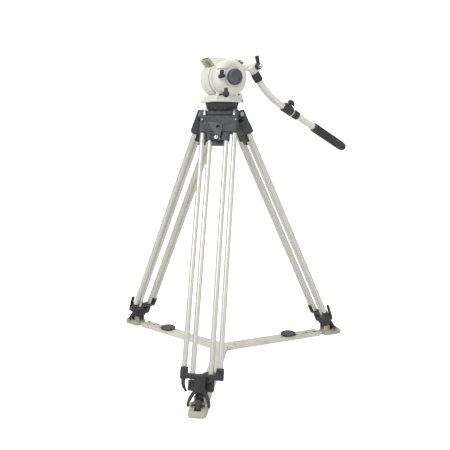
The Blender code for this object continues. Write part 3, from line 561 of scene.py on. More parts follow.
# ---------------------------------------------------------------- geometry node trees
def copies_tree(name, ring):
    """Copies of a small part: round a circle, or in a row along X. The part comes in as an object."""
    tree = bpy.data.node_groups.new(name, "GeometryNodeTree")
    tree.interface.new_socket(name="Geometry", in_out="INPUT", socket_type="NodeSocketGeometry")
    for label, kind, default in (("Part", "NodeSocketObject", None), ("Count", "NodeSocketInt", 12),
                                 ("Radius", "NodeSocketFloat", 0.02), ("Spacing", "NodeSocketFloat", 0.01),
                                 ("Finish", "NodeSocketMaterial", None)):
        socket = tree.interface.new_socket(name=label, in_out="INPUT", socket_type=kind)
        if default is not None:
            socket.default_value = default
    tree.interface.new_socket(name="Geometry", in_out="OUTPUT", socket_type="NodeSocketGeometry")
    source, sink = tree.nodes.new("NodeGroupInput"), tree.nodes.new("NodeGroupOutput")
    part = tree.nodes.new("GeometryNodeObjectInfo")
    spread = tree.nodes.new("GeometryNodeInstanceOnPoints")
    real = tree.nodes.new("GeometryNodeRealizeInstances")
    paint = tree.nodes.new("GeometryNodeSetMaterial")
    link = tree.links.new
    link(source.outputs["Part"], part.inputs["Object"])
    link(part.outputs["Geometry"], spread.inputs["Instance"])
    if ring:
        points = add_node(tree, "GeometryNodeMeshCircle", {"fill_type": "NONE"})
        link(source.outputs["Count"], points.inputs["Vertices"])
        link(source.outputs["Radius"], points.inputs["Radius"])
        turn = add_node(tree, "FunctionNodeAlignEulerToVector", {"axis": "X", "pivot_axis": "Z"})
        link(tree.nodes.new("GeometryNodeInputPosition").outputs[0], turn.inputs["Vector"])
        link(turn.outputs[0], spread.inputs["Rotation"])
    else:
        points = add_node(tree, "GeometryNodeMeshLine", {"mode": "OFFSET"})
        step = tree.nodes.new("ShaderNodeCombineXYZ")
        link(source.outputs["Count"], points.inputs["Count"])
        link(source.outputs["Spacing"], step.inputs["X"])
        link(step.outputs[0], points.inputs["Offset"])
    link(points.outputs["Mesh"], spread.inputs["Points"])
    link(spread.outputs["Instances"], real.inputs["Geometry"])
    link(real.outputs["Geometry"], paint.inputs["Geometry"])
    link(source.outputs["Finish"], paint.inputs["Material"])
    link(paint.outputs["Geometry"], sink.inputs["Geometry"])
    return tree


def copies(part, finish, ring=True, **values):
    """Runs the copies tree on a small part and returns the result as one plain shape."""
    name = "ring_of_parts" if ring else "row_of_parts"
    tree = bpy.data.node_groups.get(name) or copies_tree(name, ring)
    obj = bpy.data.objects.new("copies", bpy.data.meshes.new("copies"))
    bpy.context.collection.objects.link(obj)
    modifier = obj.modifiers.new("copies", "NODES")
    modifier.node_group = tree
    names = {item.name: item.identifier for item in tree.interface.items_tree if item.in_out == "INPUT"}
    modifier[names["Part"]] = part
    modifier[names["Finish"]] = finish_material(finish)
    for key, value in values.items():
        modifier[names[key]] = value
    mesh = evaluated(obj)
    obj.modifiers.clear()
    obj.data = mesh
    bpy.data.objects.remove(part, do_unlink=True)
    return obj


def placed(obj, axis, centre):
    """Turns a shape made round Z so that it stands on centre along axis."""
    obj.data.transform(along(axis, centre))
    return obj


def socket_screw(radius=0.0026):
    """Head of a socket screw standing on z = 0: rounded rim, hexagonal recess."""
    head = turned([(radius, 0.0), (radius, radius * 0.55), (radius * 0.86, radius * 0.72), (0, radius * 0.74)],
                  sides=20)
    recess = turned([(radius * 0.5, radius * 0.25), (radius * 0.5, radius * 1.2)], sides=6)
    return combine(head, cut=[recess])


# ---------------------------------------------------------------- leg pieces
CASTING_W, CASTING_TOP, CASTING_END, BRIDGE_END = 0.067, 0.012, -0.075, -0.104
SOCKET_TOP, SOCKET_END, FOOT_END = -0.861, -0.898, -0.932
OUTER_Y, INNER_Y = 0.056, 0.0285
GAP = 0.0003
SIDES = (-1, 1)
FRONT_LEG = 1                   # its foot lock hangs down, the other two stand up
RAISED_LOCK_SIDE = {2: -1, 3: 1}
PIVOT_Z = -0.092


def make_leg_tubes(n):
    """The two outer tubes, and the inner frame that slides between them."""
    place, radius = leg_frame(n), sizes().tube_radius
    outer = [rod((0, side * OUTER_Y, SOCKET_TOP), (0, side * OUTER_Y, CASTING_END), radius, 56) for side in SIDES]
    finish_piece(f"leg_{n}_outer_tubes", group_of(outer), place, "tube", f"leg_{n}_upper",
                 f"leg_{n}_outer_tube_a", f"leg_{n}_outer_tube_b", edge=0)
    inner = [rod((0, side * INNER_Y, SOCKET_END - GAP), (0, side * INNER_Y, BRIDGE_END - GAP), radius, 56, 0.0006)
             for side in SIDES]
    tie = block((-0.005, -INNER_Y, BRIDGE_END - 0.016), (0.005, INNER_Y, BRIDGE_END - 0.002), 0.0015)
    finish_piece(f"leg_{n}_frame_tie", tie, place, "casting", f"leg_{n}_lower", edge=0)
    finish_piece(f"leg_{n}_inner_tubes", group_of(inner), place, "tube", f"leg_{n}_lower",
                 f"leg_{n}_inner_frame", edge=0)


def make_upper_casting(n):
    """The casting that hangs on the crown pin and holds the tops of the tubes."""
    place = leg_frame(n)
    face = block((-0.004, -CASTING_W, CASTING_END), (0.014, CASTING_W, CASTING_TOP), 0.004, 4)
    back = block((-0.0115, -CASTING_W + 0.001, CASTING_END + 0.001), (0.010, CASTING_W - 0.001, -0.024), 0.002)
    apron = block((0.010, -CASTING_W + 0.0035, CASTING_END + 0.002), (0.0168, CASTING_W - 0.0035, -0.040), 0.0022, 3)
    bridge = block((-0.010, -0.037, BRIDGE_END), (0.011, 0.037, CASTING_END + 0.01), 0.002)
    collars = [rod((0, side * INNER_Y, BRIDGE_END), (0, side * INNER_Y, CASTING_END - 0.004), 0.0118, 40, 0.001)
               for side in SIDES]
    shoulders = [rod((0, side * OUTER_Y, CASTING_END), (0, side * OUTER_Y, CASTING_END + 0.02), 0.0112, 40, 0.0008)
                 for side in SIDES]
    slot = block((-0.03, -0.0465, -0.0135), (0.03, 0.0465, 0.03))
    recesses = [block((0.0128, -0.058, -0.037), (0.02, 0.058, -0.0195), 0.0008),
                block((0.0158, -0.052, -0.070), (0.02, -0.020, -0.046), 0.0008),
                block((0.0158, 0.018, -0.070), (0.02, 0.056, -0.046), 0.0008)]
    notch = block((0.012, 0.012, -0.060), (0.02, 0.0165, -0.051), 0.0005)
    pivot = rod((0.009, 0, PIVOT_Z), (0.03, 0, PIVOT_Z), 0.0048)
    waist = [block((-0.02, side * 0.048 - 0.010, CASTING_END - 0.002), (-0.0095, side * 0.048 + 0.010, -0.030), 0.001)
             for side in SIDES]
    body = combine(face, [back, apron, bridge, *collars, *shoulders], [slot, *recesses, notch, pivot, *waist])
    finish_piece(f"leg_{n}_upper_cast", body, place, "casting", f"leg_{n}_upper", f"leg_{n}_upper_casting",
                 edge=0.0006)
    bushes = [turned([(0.0035, 0.0), (0.0078, 0.0), (0.0078, 0.0026), (0.0068, 0.0034), (0.0035, 0.0034)],
                     (0, side, 0), (0, side * 0.0640, 0), 36) for side in SIDES]
    straps = [block((0.0095, min(a, b), -0.0115), (0.0147, max(a, b), 0.0105), 0.0014, 3)
              for a, b in ((0.0485, 0.0560), (-0.0485, -0.0560))]
    finish_piece(f"leg_{n}_pin_bushes", group_of([*bushes, *straps]), place, "steel", f"leg_{n}_upper", edge=0.0003)
    screws = copies(socket_screw(0.0028), "steel", ring=False, Count=2, Spacing=0.118)
    screws.data.transform(Matrix.Translation((0.0138, -0.059, -0.028)) @ Matrix.Rotation(math.pi / 2, 4, "Z")
                          @ Matrix.Rotation(math.pi / 2, 4, "X"))
    finish_piece(f"leg_{n}_casting_screws", screws, place, "steel", f"leg_{n}_upper", edge=0)


def make_clamp_lever(n):
    """The bored, three-cornered lever that locks the leg's length."""
    place = leg_frame(n) @ Matrix.Translation((0, 0, PIVOT_Z))
    outline = [(-0.0075, -0.0040), (0.0080, -0.0105), (0.0115, 0.0100), (0.0142, 0.0290), (0.0132, 0.0370),
               (0.0075, 0.0425), (-0.0020, 0.0450), (-0.0330, 0.0520), (-0.0355, 0.0505), (-0.0345, 0.0470),
               (-0.0120, 0.0140)]
    blade = prism(outline, "X", 0.0185, 0.0225)
    rim = rod((0.0185, 0.0, 0.032), (0.0240, 0.0, 0.032), 0.0098, 40)
    ridge = prism([(-0.0330, 0.0500), (-0.0350, 0.0490), (-0.0080, 0.0040), (-0.0030, 0.0060)], "X", 0.0200, 0.0245)
    hole = rod((0.0, 0.0, 0.032), (0.04, 0.0, 0.032), 0.0065, 40)
    hub = rod((0.0185, -0.0015, -0.0030), (0.0255, -0.0015, -0.0030), 0.0085, 40, 0.001)
    nut = rod((0.0165, 0.0065, -0.0130), (0.0250, 0.0065, -0.0130), 0.0062, 6, 0.0006)
    shaft = rod((0.0095, 0, 0), (0.020, 0, 0), 0.0044)
    finish_piece(f"leg_{n}_clamp_blade", combine(blade, [rim, ridge, hub, nut, shaft], [hole]), place, "knob",
                 f"leg_{n}_clamp", f"leg_{n}_clamp_lever", edge=0.0005)
    cap = turned([(0.0078, 0.0), (0.0078, 0.0010), (0.0062, 0.0030), (0.0034, 0.0044), (0, 0.0048)],
                 (1, 0, 0), (0.0255, -0.0040, -0.0080), 36)
    finish_piece(f"leg_{n}_clamp_cap", cap, place, "chrome", f"leg_{n}_clamp", edge=0)


def make_lower_casting(n):
    """The cross bar at the foot of the outer tubes, and its foot lock."""
    place = leg_frame(n)
    bar = block((-0.0110, -OUTER_Y, SOCKET_END + 0.001), (0.0110, OUTER_Y, -0.8805), 0.003, 3)
    sockets = [turned([(0.0105, 0.0), (0.0120, 0.0015), (0.0125, 0.0040), (0.0125, 0.0290), (0.0118, 0.0300),
                       (0.0118, 0.0350), (0.0112, 0.0367)], (0, 0, 1), (0, side * OUTER_Y, SOCKET_END), 48)
               for side in SIDES]
    ribs = [block((-0.0118, side * 0.043 - 0.002, SOCKET_END + 0.001), (0.0118, side * 0.043 + 0.002, -0.8795), 0.0008)
            for side in SIDES]
    holes = [rod((0, side * INNER_Y, -0.91), (0, side * INNER_Y, -0.86), sizes().tube_radius + 0.0004, 48)
             for side in SIDES]
    gap = block((-0.02, -0.013, -0.905), (0.0, 0.013, -0.887), 0.001)
    finish_piece(f"leg_{n}_lower_cast", combine(bar, [*sockets, *ribs], [*holes, gap]), place, "black",
                 f"leg_{n}_upper", f"leg_{n}_lower_casting", edge=0.0005)
    if n == FRONT_LEG:
        lock = prism([(-0.0625, -0.8970), (-0.0500, -0.8970), (-0.0500, -0.9120), (-0.0465, -0.9240),
                      (-0.0420, -0.9330), (-0.0460, -0.9350), (-0.0555, -0.9250), (-0.0610, -0.9130)],
                     "X", 0.0010, 0.0085)
    else:
        middle = RAISED_LOCK_SIDE[n] * OUTER_Y
        lock = prism([(0.0100, -0.9050), (0.0185, -0.9050), (0.0232, -0.8850), (0.0242, -0.8620), (0.0275, -0.8460),
                      (0.0255, -0.8400), (0.0190, -0.8450), (0.0180, -0.8620), (0.0160, -0.8790), (0.0100, -0.8860)],
                     "Y", middle - 0.0065, middle + 0.0065)
    finish_piece(f"leg_{n}_foot_lock", lock, place, "black", f"leg_{n}_upper", edge=0.0012)


def make_foot(n):
    """The foot at the end of the inner frame, pinned at the ankle."""
    place, ankle = leg_frame(n), -LEG_LENGTH
    yoke = block((-0.0123, -0.0395, FOOT_END), (0.0123, 0.0395, SOCKET_END - 0.0006), 0.0045, 4)
    shank = block((-0.0118, -0.0113, ankle), (0.0118, 0.0113, FOOT_END + 0.006), 0.0030, 3)
    heel = rod((0, -0.0113, ankle), (0, 0.0113, ankle), 0.0127, 48, 0.0012)
    webs = [block((-0.010, y - 0.002, FOOT_END - 0.007), (0.010, y + 0.002, FOOT_END + 0.004), 0.001)
            for y in (-0.018, 0.018)]
    bore = rod((0, -0.03, ankle), (0, 0.03, ankle), 0.0035)
    hollow = block((0.0085, -0.034, FOOT_END + 0.006), (0.02, 0.034, SOCKET_END - 0.007), 0.001)
    body = combine(yoke, [shank, heel, *webs], [bore, hollow])
    finish_piece(f"leg_{n}_foot_cast", body, place, "rubber", f"leg_{n}_lower", f"leg_{n}_foot", edge=0.0006)
    ring = turned([(0.0036, 0.0), (0.0072, 0.0), (0.0072, 0.0012), (0.0062, 0.0018), (0.0036, 0.0018)],
                  sides=36)
    finish_piece(f"leg_{n}_foot_ring", placed(ring, (0, 1, 0), (0, 0.0105, ankle)), place, "steel",
                 f"leg_{n}_lower", edge=0.0002)


# ---------------------------------------------------------------- crown, head, pan bar and spreader
def make_crown():
    """The ribs and the rim of the bowl."""
    place = head_frame()
    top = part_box("crown_casting")[1][2]
    rib = block((-0.0012, -0.0013, 0.0), (0.0020, 0.0013, 0.0155), 0.0004)
    ribs = copies(rib, "casting", Count=sizes().bowl_ribs, Radius=0.0548)
    ribs.data.transform(Matrix.Translation((0, 0, top - 0.0205)))
    finish_piece("bowl_ribs", ribs, place, "casting", "crown", edge=0)
    ring = turned([(0.0572, top - 0.0050), (0.0593, top - 0.0050), (0.0597, top - 0.0040), (0.0597, top - 0.0008),
                   (0.0590, top), (0.0520, top), (0.0520, top - 0.0020), (0.0572, top - 0.0020)], sides=96)
    finish_piece("bowl_rim", ring, place, "black", "crown", edge=0)


def drum_side(face_y, inner_y, corner, dome):
    """One side of the drum, turned about Y: its outer face stands at face_y and curves over into the rim."""
    radius, toward = sizes().drum_radius, 1 if inner_y > face_y else -1
    length = abs(inner_y - face_y)
    curve = [(radius - corner + corner * math.sin(a), dome - dome * math.cos(a))
             for a in (math.pi / 2 * i / 14 for i in range(15))]
    profile = [*curve, (radius, length - 0.001), (radius - 0.001, length)]
    return turned(profile, (0, toward, 0), (0, face_y, DRUM_CENTRE_Z), 128)


DRUM_FACE_Y = -0.079


def make_tilt_body():
    """The two sides of the drum with the platform across them."""
    z = DRUM_CENTRE_Z
    near, far = drum_side(DRUM_FACE_Y, -0.0385, 0.0185, 0.0210), drum_side(0.052, -0.0135, 0.0075, 0.0075)
    platform = prism([(-0.071, PLATFORM_TOP), (-0.047, z + 0.035), (0.052, z + 0.035), (0.060, z + 0.042),
                      (0.060, PLATFORM_TOP)], "Y", -0.039, 0.039)
    core_room = rod((0, -0.0385, z), (0, -0.0135, z), 0.062, 128)
    axle = rod((0, DRUM_FACE_Y + 0.008, z), (0, 0.044, z), 0.0083)
    track = block((-0.10, -0.0255, PLATFORM_TOP - 0.004), (0.10, 0.0255, PLATFORM_TOP + 0.01))
    mouth = prism([(-0.10, z + 0.0385), (-0.10, z + 0.0612), (-0.0555, z + 0.0612), (-0.041, z + 0.0385)],
                  "Y", -0.0345, 0.0345)
    slit = block((-0.070, -0.085, z + 0.0236), (-0.0095, -0.064, z + 0.0258))
    slit_end = block((-0.0630, -0.085, z + 0.0120), (-0.0604, -0.060, z + 0.0250))
    dish = turned([(0.034, -0.0015), (0.034, 0.01)], (0, -1, 0), (0, DRUM_FACE_Y, z), 96)
    far_dish = turned([(0.050, -0.0015), (0.050, 0.01)], (0, 1, 0), (0, 0.052, z), 96)
    lock = local_point(head_frame(), "tilt_lock_turn")
    bores = [rod((0, DRUM_FACE_Y - 0.01, z), (0, DRUM_FACE_Y + 0.006, z), 0.0063),
             rod((lock.x, DRUM_FACE_Y - 0.01, lock.z), (lock.x, DRUM_FACE_Y + 0.006, lock.z), 0.0033)]
    body = combine(near, [far, platform], [core_room, axle, track, mouth, slit, slit_end, dish, far_dish, *bores])
    finish_piece("head_shell", body, head_frame(), "cream", "tilt", "tilt_body", edge=0.0007)
    lever = combine(prism([(-0.055, z + 0.040), (-0.061, z + 0.052), (-0.058, z + 0.056), (-0.046, z + 0.048)],
                          "Y", -0.006, 0.010), [rod((-0.052, -0.010, z + 0.047), (-0.052, 0.014, z + 0.047), 0.0035)])
    # Rust-coloured blocks inside the slit: painted shade, so that the slit reads as a dark, shadowed groove.
    slit_painted_shade = [block((x0, front, z + 0.0234), (x1, -0.062, z + 0.0260))
                  for x0, x1, front in ((-0.0262, -0.0095, -0.0784), (-0.0402, -0.0260, -0.0780),
                                        (-0.0502, -0.0400, -0.0752), (-0.0560, -0.0500, -0.0690))]
    finish_piece("head_slit_floor", group_of(slit_painted_shade), head_frame(), "rust", "tilt", edge=0)
    # A darker sheet at the back of the platform mouth, in the end pads' colour: painted shade, so that the mouth reads
    # deep.
    mouth_shade_liner = prism([(-0.0620, z + 0.0611), (-0.0546, z + 0.0611), (-0.0400, z + 0.0386), (-0.0460, z + 0.0386)],
                  "Y", -0.0344, 0.0344)
    finish_piece("platform_mouth_back", mouth_shade_liner, head_frame(), "pad", "tilt", edge=0)
    finish_piece("plate_release_pawl", lever, head_frame(), "steel", "tilt", edge=0.0005)
    cover = turned([(0.0325, -0.0013), (0.0325, -0.0002), (0.0318, 0.0002), (0, 0.0002)], (0, -1, 0),
                   (0, DRUM_FACE_Y, z), 96)
    cover = combine(cover, cut=[rod((0, -0.09, z), (0, -0.07, z), 0.0065)])
    finish_piece("drag_dial_plate", cover, head_frame(), "white", "tilt", edge=0)
    screws = copies(socket_screw(0.0024), "steel", Count=6, Radius=0.043)
    finish_piece("far_side_screws", placed(screws, (0, 1, 0), (0, 0.0505, z)), head_frame(), "steel", "tilt", edge=0)


def make_pan_base():
    """The flared base that turns in the bowl, with the core between the drum's sides."""
    z = DRUM_CENTRE_Z
    skirt = loft([rounded_loop(0.0595, 0.0575, 0.012, 0.9315), rounded_loop(0.060, 0.058, 0.012, 0.9322),
                  rounded_loop(0.060, 0.058, 0.012, 0.9362), rounded_loop(0.0592, 0.0573, 0.012, 0.9370),
                  rounded_loop(0.0535, 0.0518, 0.011, 0.9465), rounded_loop(0.0475, 0.0460, 0.010, 0.9560)])
    panel = prism([(-0.056, 0.934), (0.056, 0.934), (0.0535, 0.9415), (0.046, 0.964), (-0.046, 0.964),
                   (-0.0535, 0.9415)], "Y", -0.0575, -0.040)
    core = rod((0, -0.038, z), (0, -0.014, z), 0.0613, 128, 0.0006)
    saddles = [rod((0, -0.09, z), (0, -0.038, z), 0.0631, 128), rod((0, -0.014, z), (0, 0.08, z), 0.0631, 128)]
    axle = rod((0, -0.09, z), (0, 0.08, z), 0.0083)
    neck = rod((0, 0, 0.92), (0, 0, 0.9445), 0.0203, 48)
    lock_at = local_point(head_frame(), "pan_lock_turn")
    lock = rod((lock_at.x, -0.07, lock_at.z), (lock_at.x, -0.0415, lock_at.z), 0.0038)
    dimples = [rod((x, -0.0625, height), (x, -0.0550, height), 0.0027, 24)
               for x, height in ((-0.0500, 0.9500), (-0.0530, 0.9395))]
    body = combine(skirt, [core, panel], [*saddles, axle, neck, lock, *dimples])
    finish_piece("pan_base_cast", body, head_frame(), "cream", "pan", "pan_base", edge=0.0005)
    seams = [rod((0, y, z), (0, y + 0.0014, z), 0.0619, 128) for y in (-0.0383, -0.0151)]
    finish_piece("drum_seams", group_of(seams), head_frame(), "rubber", "pan", edge=0)
    near = copies(socket_screw(0.0027), "black", ring=False, Count=2, Spacing=0.0255)
    near.data.transform(Matrix.Translation((0.0353, -0.0573, 0.9567)) @ Matrix.Rotation(math.radians(52), 4, "Y")
                        @ Matrix.Rotation(math.pi / 2, 4, "X"))
    finish_piece("skirt_screws_near", near, head_frame(), "black", "pan", edge=0)
    far = copies(socket_screw(0.0027), "black", ring=False, Count=2, Spacing=0.095)
    far.data.transform(Matrix.Translation((-0.0475, 0.0548, 0.9405)) @ Matrix.Rotation(-math.pi / 2, 4, "X"))
    finish_piece("skirt_screws_far", far, head_frame(), "black", "pan", edge=0)


def make_head_controls():
    """The drag knob, the lobed tilt lock and the ball-ended pan lock."""
    z, radius, place = DRUM_CENTRE_Z, sizes().knob_radius, head_frame()
    base_y, skin = DRUM_FACE_Y - GAP, radius - 0.0008
    face_y = base_y - 0.0205
    knob = turned([(0.0240, 0.0), (skin, 0.0018), (skin, 0.0150), (skin - 0.0010, 0.0178), (skin - 0.0032, 0.0200),
                   (skin - 0.0058, 0.0212), (skin - 0.0082, 0.0208), (0.004, 0.0205), (0, 0.0205)],
                  (0, -1, 0), (0, base_y, z), 96)
    spigot = rod((0, base_y - 0.002, z), (0, base_y + 0.004, z), 0.006)
    crescent = combine(rod((0.0085, face_y - 0.01, z - 0.0085), (0.0085, face_y + 0.0022, z - 0.0085), 0.0062, 40),
                       cut=[rod((0.0060, face_y - 0.02, z - 0.0060), (0.0060, face_y + 0.02, z - 0.0060), 0.0052, 40)])
    finish_piece("drag_knob_body", combine(knob, [spigot], [crescent]), place, "knob", "drag", "drag_knob",
                 edge=0.0004)
    ridge = block((-0.0004, -0.0008, 0.0030), (0.0008, 0.0008, 0.0150), 0.0003)
    ridges = copies(ridge, "knob", Count=sizes().knurls, Radius=skin)
    finish_piece("drag_knob_ridges", placed(ridges, (0, -1, 0), (0, base_y, z)), place, "knob", "drag", edge=0)

    lock = local_point(place, "tilt_lock_turn")
    lobes = [turned([(0.0040, 0.0), (0.0062, 0.0016), (0.0068, 0.0045), (0.0066, 0.0082), (0.0050, 0.0106),
                     (0.0022, 0.0115), (0, 0.0116)], (0, -1, 0), (lock.x + dx, base_y - 0.0005, lock.z + dz), 40)
             for dx, dz in ((-0.0055, -0.0060), (0.0055, -0.0035), (0.0015, 0.0100))]
    web = block((lock.x - 0.0045, base_y - 0.0095, lock.z - 0.0055),
                (lock.x + 0.0050, base_y - 0.0012, lock.z + 0.0095), 0.0022, 3)
    pin = rod((lock.x, base_y + 0.004, lock.z), (lock.x, base_y - 0.008, lock.z), 0.003)
    finish_piece("tilt_lock_lobes", combine(pin, [web, *lobes]), place, "black", "tilt_lock", "tilt_lock_knob",
                 edge=0.0004)

    at = local_point(place, "pan_lock_turn")
    ball = turned([(0.0040, -0.0086), (0.0078, -0.0076), (0.0104, -0.0044), (0.0114, 0.0), (0.0104, 0.0044),
                   (0.0078, 0.0076), (0.0040, 0.0086), (0, 0.0087)], (0, -1, 0), at, 48)
    stem = rod(at + Vector((0, 0, 0.0208)), at - Vector((0, 0, 0.002)), 0.0064, 40, 0.0014)
    pivot = rod(at, (at.x, -0.0425, at.z), 0.0034)
    finish_piece("pan_lock_handle", combine(pivot, [ball, stem]), place, "black", "pan_lock", "pan_lock_lever",
                 edge=0.0003)


def make_bar():
    """The pan bar from its bracket on the head to the hand grip."""
    place = head_frame()
    pivot = local_point(place, "bar_angle")
    lower = local_axis(place, "bar_extend")
    low_angle, high_angle = math.atan2(lower.z, lower.x), math.radians(-53.0)
    upper = Vector((math.cos(high_angle), 0, math.sin(high_angle)))
    start = Vector((0.1597, 0.0, 1.0132))
    bend = 0.285
    centre = start + bend * Vector((-math.sin(high_angle), 0, math.cos(high_angle)))
    arc = [centre - bend * Vector((-math.sin(a), 0, math.cos(a)))
           for a in (high_angle + (low_angle - high_angle) * i / 32 for i in range(33))]
    end = arc[-1] + lower * 0.013

    curve = bpy.data.curves.new("bar_curve", "CURVE")
    curve.dimensions = "3D"
    curve.bevel_depth = 0.0125
    curve.bevel_resolution = 9
    curve.use_fill_caps = True
    points = [start - upper * 0.0015, *arc, end]
    spline = curve.splines.new("POLY")
    spline.points.add(len(points) - 1)
    for target, point in zip(spline.points, points):
        target.co = (*point, 1.0)
    holder = bpy.data.objects.new("bar_curve", curve)
    bpy.context.collection.objects.link(holder)
    bent = bpy.data.objects.new("bent", evaluated(holder))
    bpy.context.collection.objects.link(bent)
    bpy.data.objects.remove(holder, do_unlink=True)
    finish_piece("bar_bend", bent, place, "cream", "bar", "bar_bent_tube", edge=0)

    collar_start = start - upper * 0.035
    collar = turned([(0.0148, 0.0), (0.0158, 0.0010), (0.0158, 0.0315), (0.0150, 0.0330)], upper, collar_start, 72)
    finish_piece("bar_upper_collar", collar, place, "black", "bar", "bar_collar", edge=0.0003)
    rings = copies(block((-0.0003, -0.0006, 0.003), (0.0006, 0.0006, 0.030), 0.0002), "black",
                   Count=sizes().knurls, Radius=0.0156)
    finish_piece("bar_upper_collar_ridges", placed(rings, upper, collar_start), place, "black", "bar", edge=0)

    disc = rod((pivot.x, -0.015, pivot.z), (pivot.x, 0.0155, pivot.z), 0.0150, 64, 0.0015)
    socket = turned([(0.0132, 0.0), (0.0145, 0.002), (0.0145, 0.0255), (0.0138, 0.0260)], upper,
                    collar_start - upper * 0.0263, 64)
    bolt = rod((pivot.x, -0.03, pivot.z), (pivot.x, 0.002, pivot.z), 0.0043)
    seam = rod((pivot.x, 0.0040, pivot.z), (pivot.x, 0.0048, pivot.z), 0.03, 64)
    room = rod((pivot.x, 0.0030, pivot.z), (pivot.x, 0.0058, pivot.z), 0.0144, 64)
    finish_piece("bar_socket", combine(disc, [socket], [bolt, combine(seam, cut=[room])]), place, "cream", "bar",
                 "bar_clamp", edge=0.0004)

    barrel = turned([(0.0085, 0.0), (0.0110, 0.0014), (0.0110, 0.0160), (0.0102, 0.0180), (0.0094, 0.0200)],
                    (0, -1, 0), (pivot.x, -0.0153, pivot.z), 48)
    spindle = rod((pivot.x, -0.018, pivot.z), (pivot.x, 0.001, pivot.z), 0.004)
    stub = turned([(0.0056, 0.0), (0.0062, 0.010), (0.0077, 0.030), (0.0077, 0.0336), (0.0066, 0.0354), (0, 0.0359)],
                  (-0.25, 0, 1.0), (pivot.x, -0.024, pivot.z + 0.003), 40)
    finish_piece("bar_clamp_handle", combine(barrel, [spindle, stub]), place, "black", "bar_lever", "bar_clamp_lever",
                 edge=0.0003)
    chrome = turned([(0.0084, 0.0), (0.0084, 0.0030), (0.0070, 0.0054), (0.0038, 0.0066), (0, 0.0069)],
                    (0, -1, 0), (pivot.x, -0.0353, pivot.z), 48)
    finish_piece("bar_clamp_chrome", chrome, place, "chrome", "bar_lever", edge=0)

    arm = block((0.070, 0.0175, 1.0510), (0.140, 0.0310, 1.0715), 0.005, 4)
    boss = rod((pivot.x, 0.0158, pivot.z), (pivot.x, 0.0340, pivot.z), 0.0150, 64, 0.0015)
    foot = block((0.0603, -0.012, 1.0495), (0.078, 0.0325, 1.0723), 0.003, 3)
    hole = rod((0.069, -0.02, 1.061), (0.069, -0.006, 1.061), 0.0045, 32)
    finish_piece("bar_bracket_cast", combine(arm, [boss, foot], [hole]), place, "cream", "tilt", "bar_bracket",
                 edge=0.0006)

    side = Vector((-lower.z, 0, lower.x))
    lock_start = end + lower * 0.0003
    lock = turned([(0.0162, 0.0), (0.0171, 0.0012), (0.0171, 0.0435), (0.0162, 0.0450)], lower, lock_start, 72)
    ear_at = lock_start + lower * 0.026
    ear = rod(ear_at + side * 0.010, ear_at + side * 0.0235, 0.0085, 40, 0.0008)
    flange = block((-0.0200, -0.0045, 0.010), (0.0165, 0.0045, 0.0205), 0.003, 4)
    flange.data.transform(frame_from(ear_at, lower, side))
    spigot = rod(lock_start + lower * 0.01, lock_start + lower * 0.188, 0.009, 40, 0.0005)
    finish_piece("bar_lock_clamp", combine(lock, [ear, flange, spigot]), place, "black", "bar", "bar_lock_collar",
                 edge=0.0005)
    wing_place = frame_from(ear_at + side * 0.0238, lower, side)
    cap = turned([(0.0076, 0.0), (0.0088, 0.0015), (0.0084, 0.0060), (0.0060, 0.0072), (0, 0.0074)], sides=40)
    fin = prism([(-0.0125, 0.0015), (-0.0130, 0.0060), (-0.0105, 0.0115), (-0.0050, 0.0155), (0.0020, 0.0170),
                    (0.0090, 0.0160), (0.0150, 0.0125), (0.0188, 0.0070), (0.0192, 0.0020), (0.0165, 0.0002),
                    (0.0120, 0.0030), (0.0060, 0.0045), (-0.0060, 0.0030)], "Y", -0.0028, 0.0028)
    finish_piece("bar_wing_nut", combine(cap, [fin]), place @ wing_place, "black", "bar_wing", "bar_wing_knob",
                 edge=0.0006)

    ring_at = lock_start + lower * 0.0455
    grip_at = lock_start + lower * 0.168
    sleeve = turned([(0.0163, 0.0036), (0.0163, 0.0315), (0.0153, 0.0330), (0.0123, 0.0330)], lower, ring_at, 72)
    ring = turned([(0.0168, 0.0), (0.0172, 0.0005), (0.0172, 0.0030), (0.0168, 0.0035)], lower, ring_at, 72)
    bore = rod(ring_at - lower * 0.01, lock_start + lower * 0.191, 0.0093, 40)
    tube = rod(ring_at + lower * 0.010, grip_at + lower * 0.030, 0.0125, 56)
    sleeve = combine(sleeve, cut=[rod(ring_at - lower * 0.01, ring_at + lower * 0.04, 0.0125, 56)])
    ring = combine(ring, cut=[rod(ring_at - lower * 0.01, ring_at + lower * 0.04, 0.0093, 40)])
    finish_piece("bar_moving_tube", combine(tube, cut=[bore]), place, "cream", "bar_extension",
                 "bar_extension_tube", edge=0)
    finish_piece("bar_sleeve", sleeve, place, "black", "bar_extension", edge=0.0002)
    finish_piece("bar_white_ring", ring, place, "white", "bar_extension", edge=0)
    grip = turned([(0.0128, 0.0010), (0.0128, 0.0), (0.0158, 0.0), (0.0170, 0.0012), (0.0178, 0.0045),
                   (0.0180, 0.0110), (0.0177, 0.085), (0.0178, 0.150), (0.0175, 0.166), (0.0163, 0.1755),
                   (0.0138, 0.1830), (0.0100, 0.1875), (0.0050, 0.1897), (0, 0.1900)], lower, grip_at, 96)
    dots = [rod(grip_at + lower * t + side * 0.0165 - Vector((0, 0.004, 0)),
                grip_at + lower * t + side * 0.022 - Vector((0, 0.005, 0)), 0.0016, 20) for t in (0.121, 0.147)]
    finish_piece("bar_hand_grip", combine(grip, cut=dots), place, "rubber", "bar_extension", "bar_grip", edge=0.0003)


ARM_W, ARM_H, TUNNEL_H = 0.022, 0.0165, 0.0135
ANKLE_X, ANKLE_Z = 0.459, 0.035
YOKE_X, YOKE_Z, YOKE_LEAN = 0.490, 0.0235, math.radians(-25)


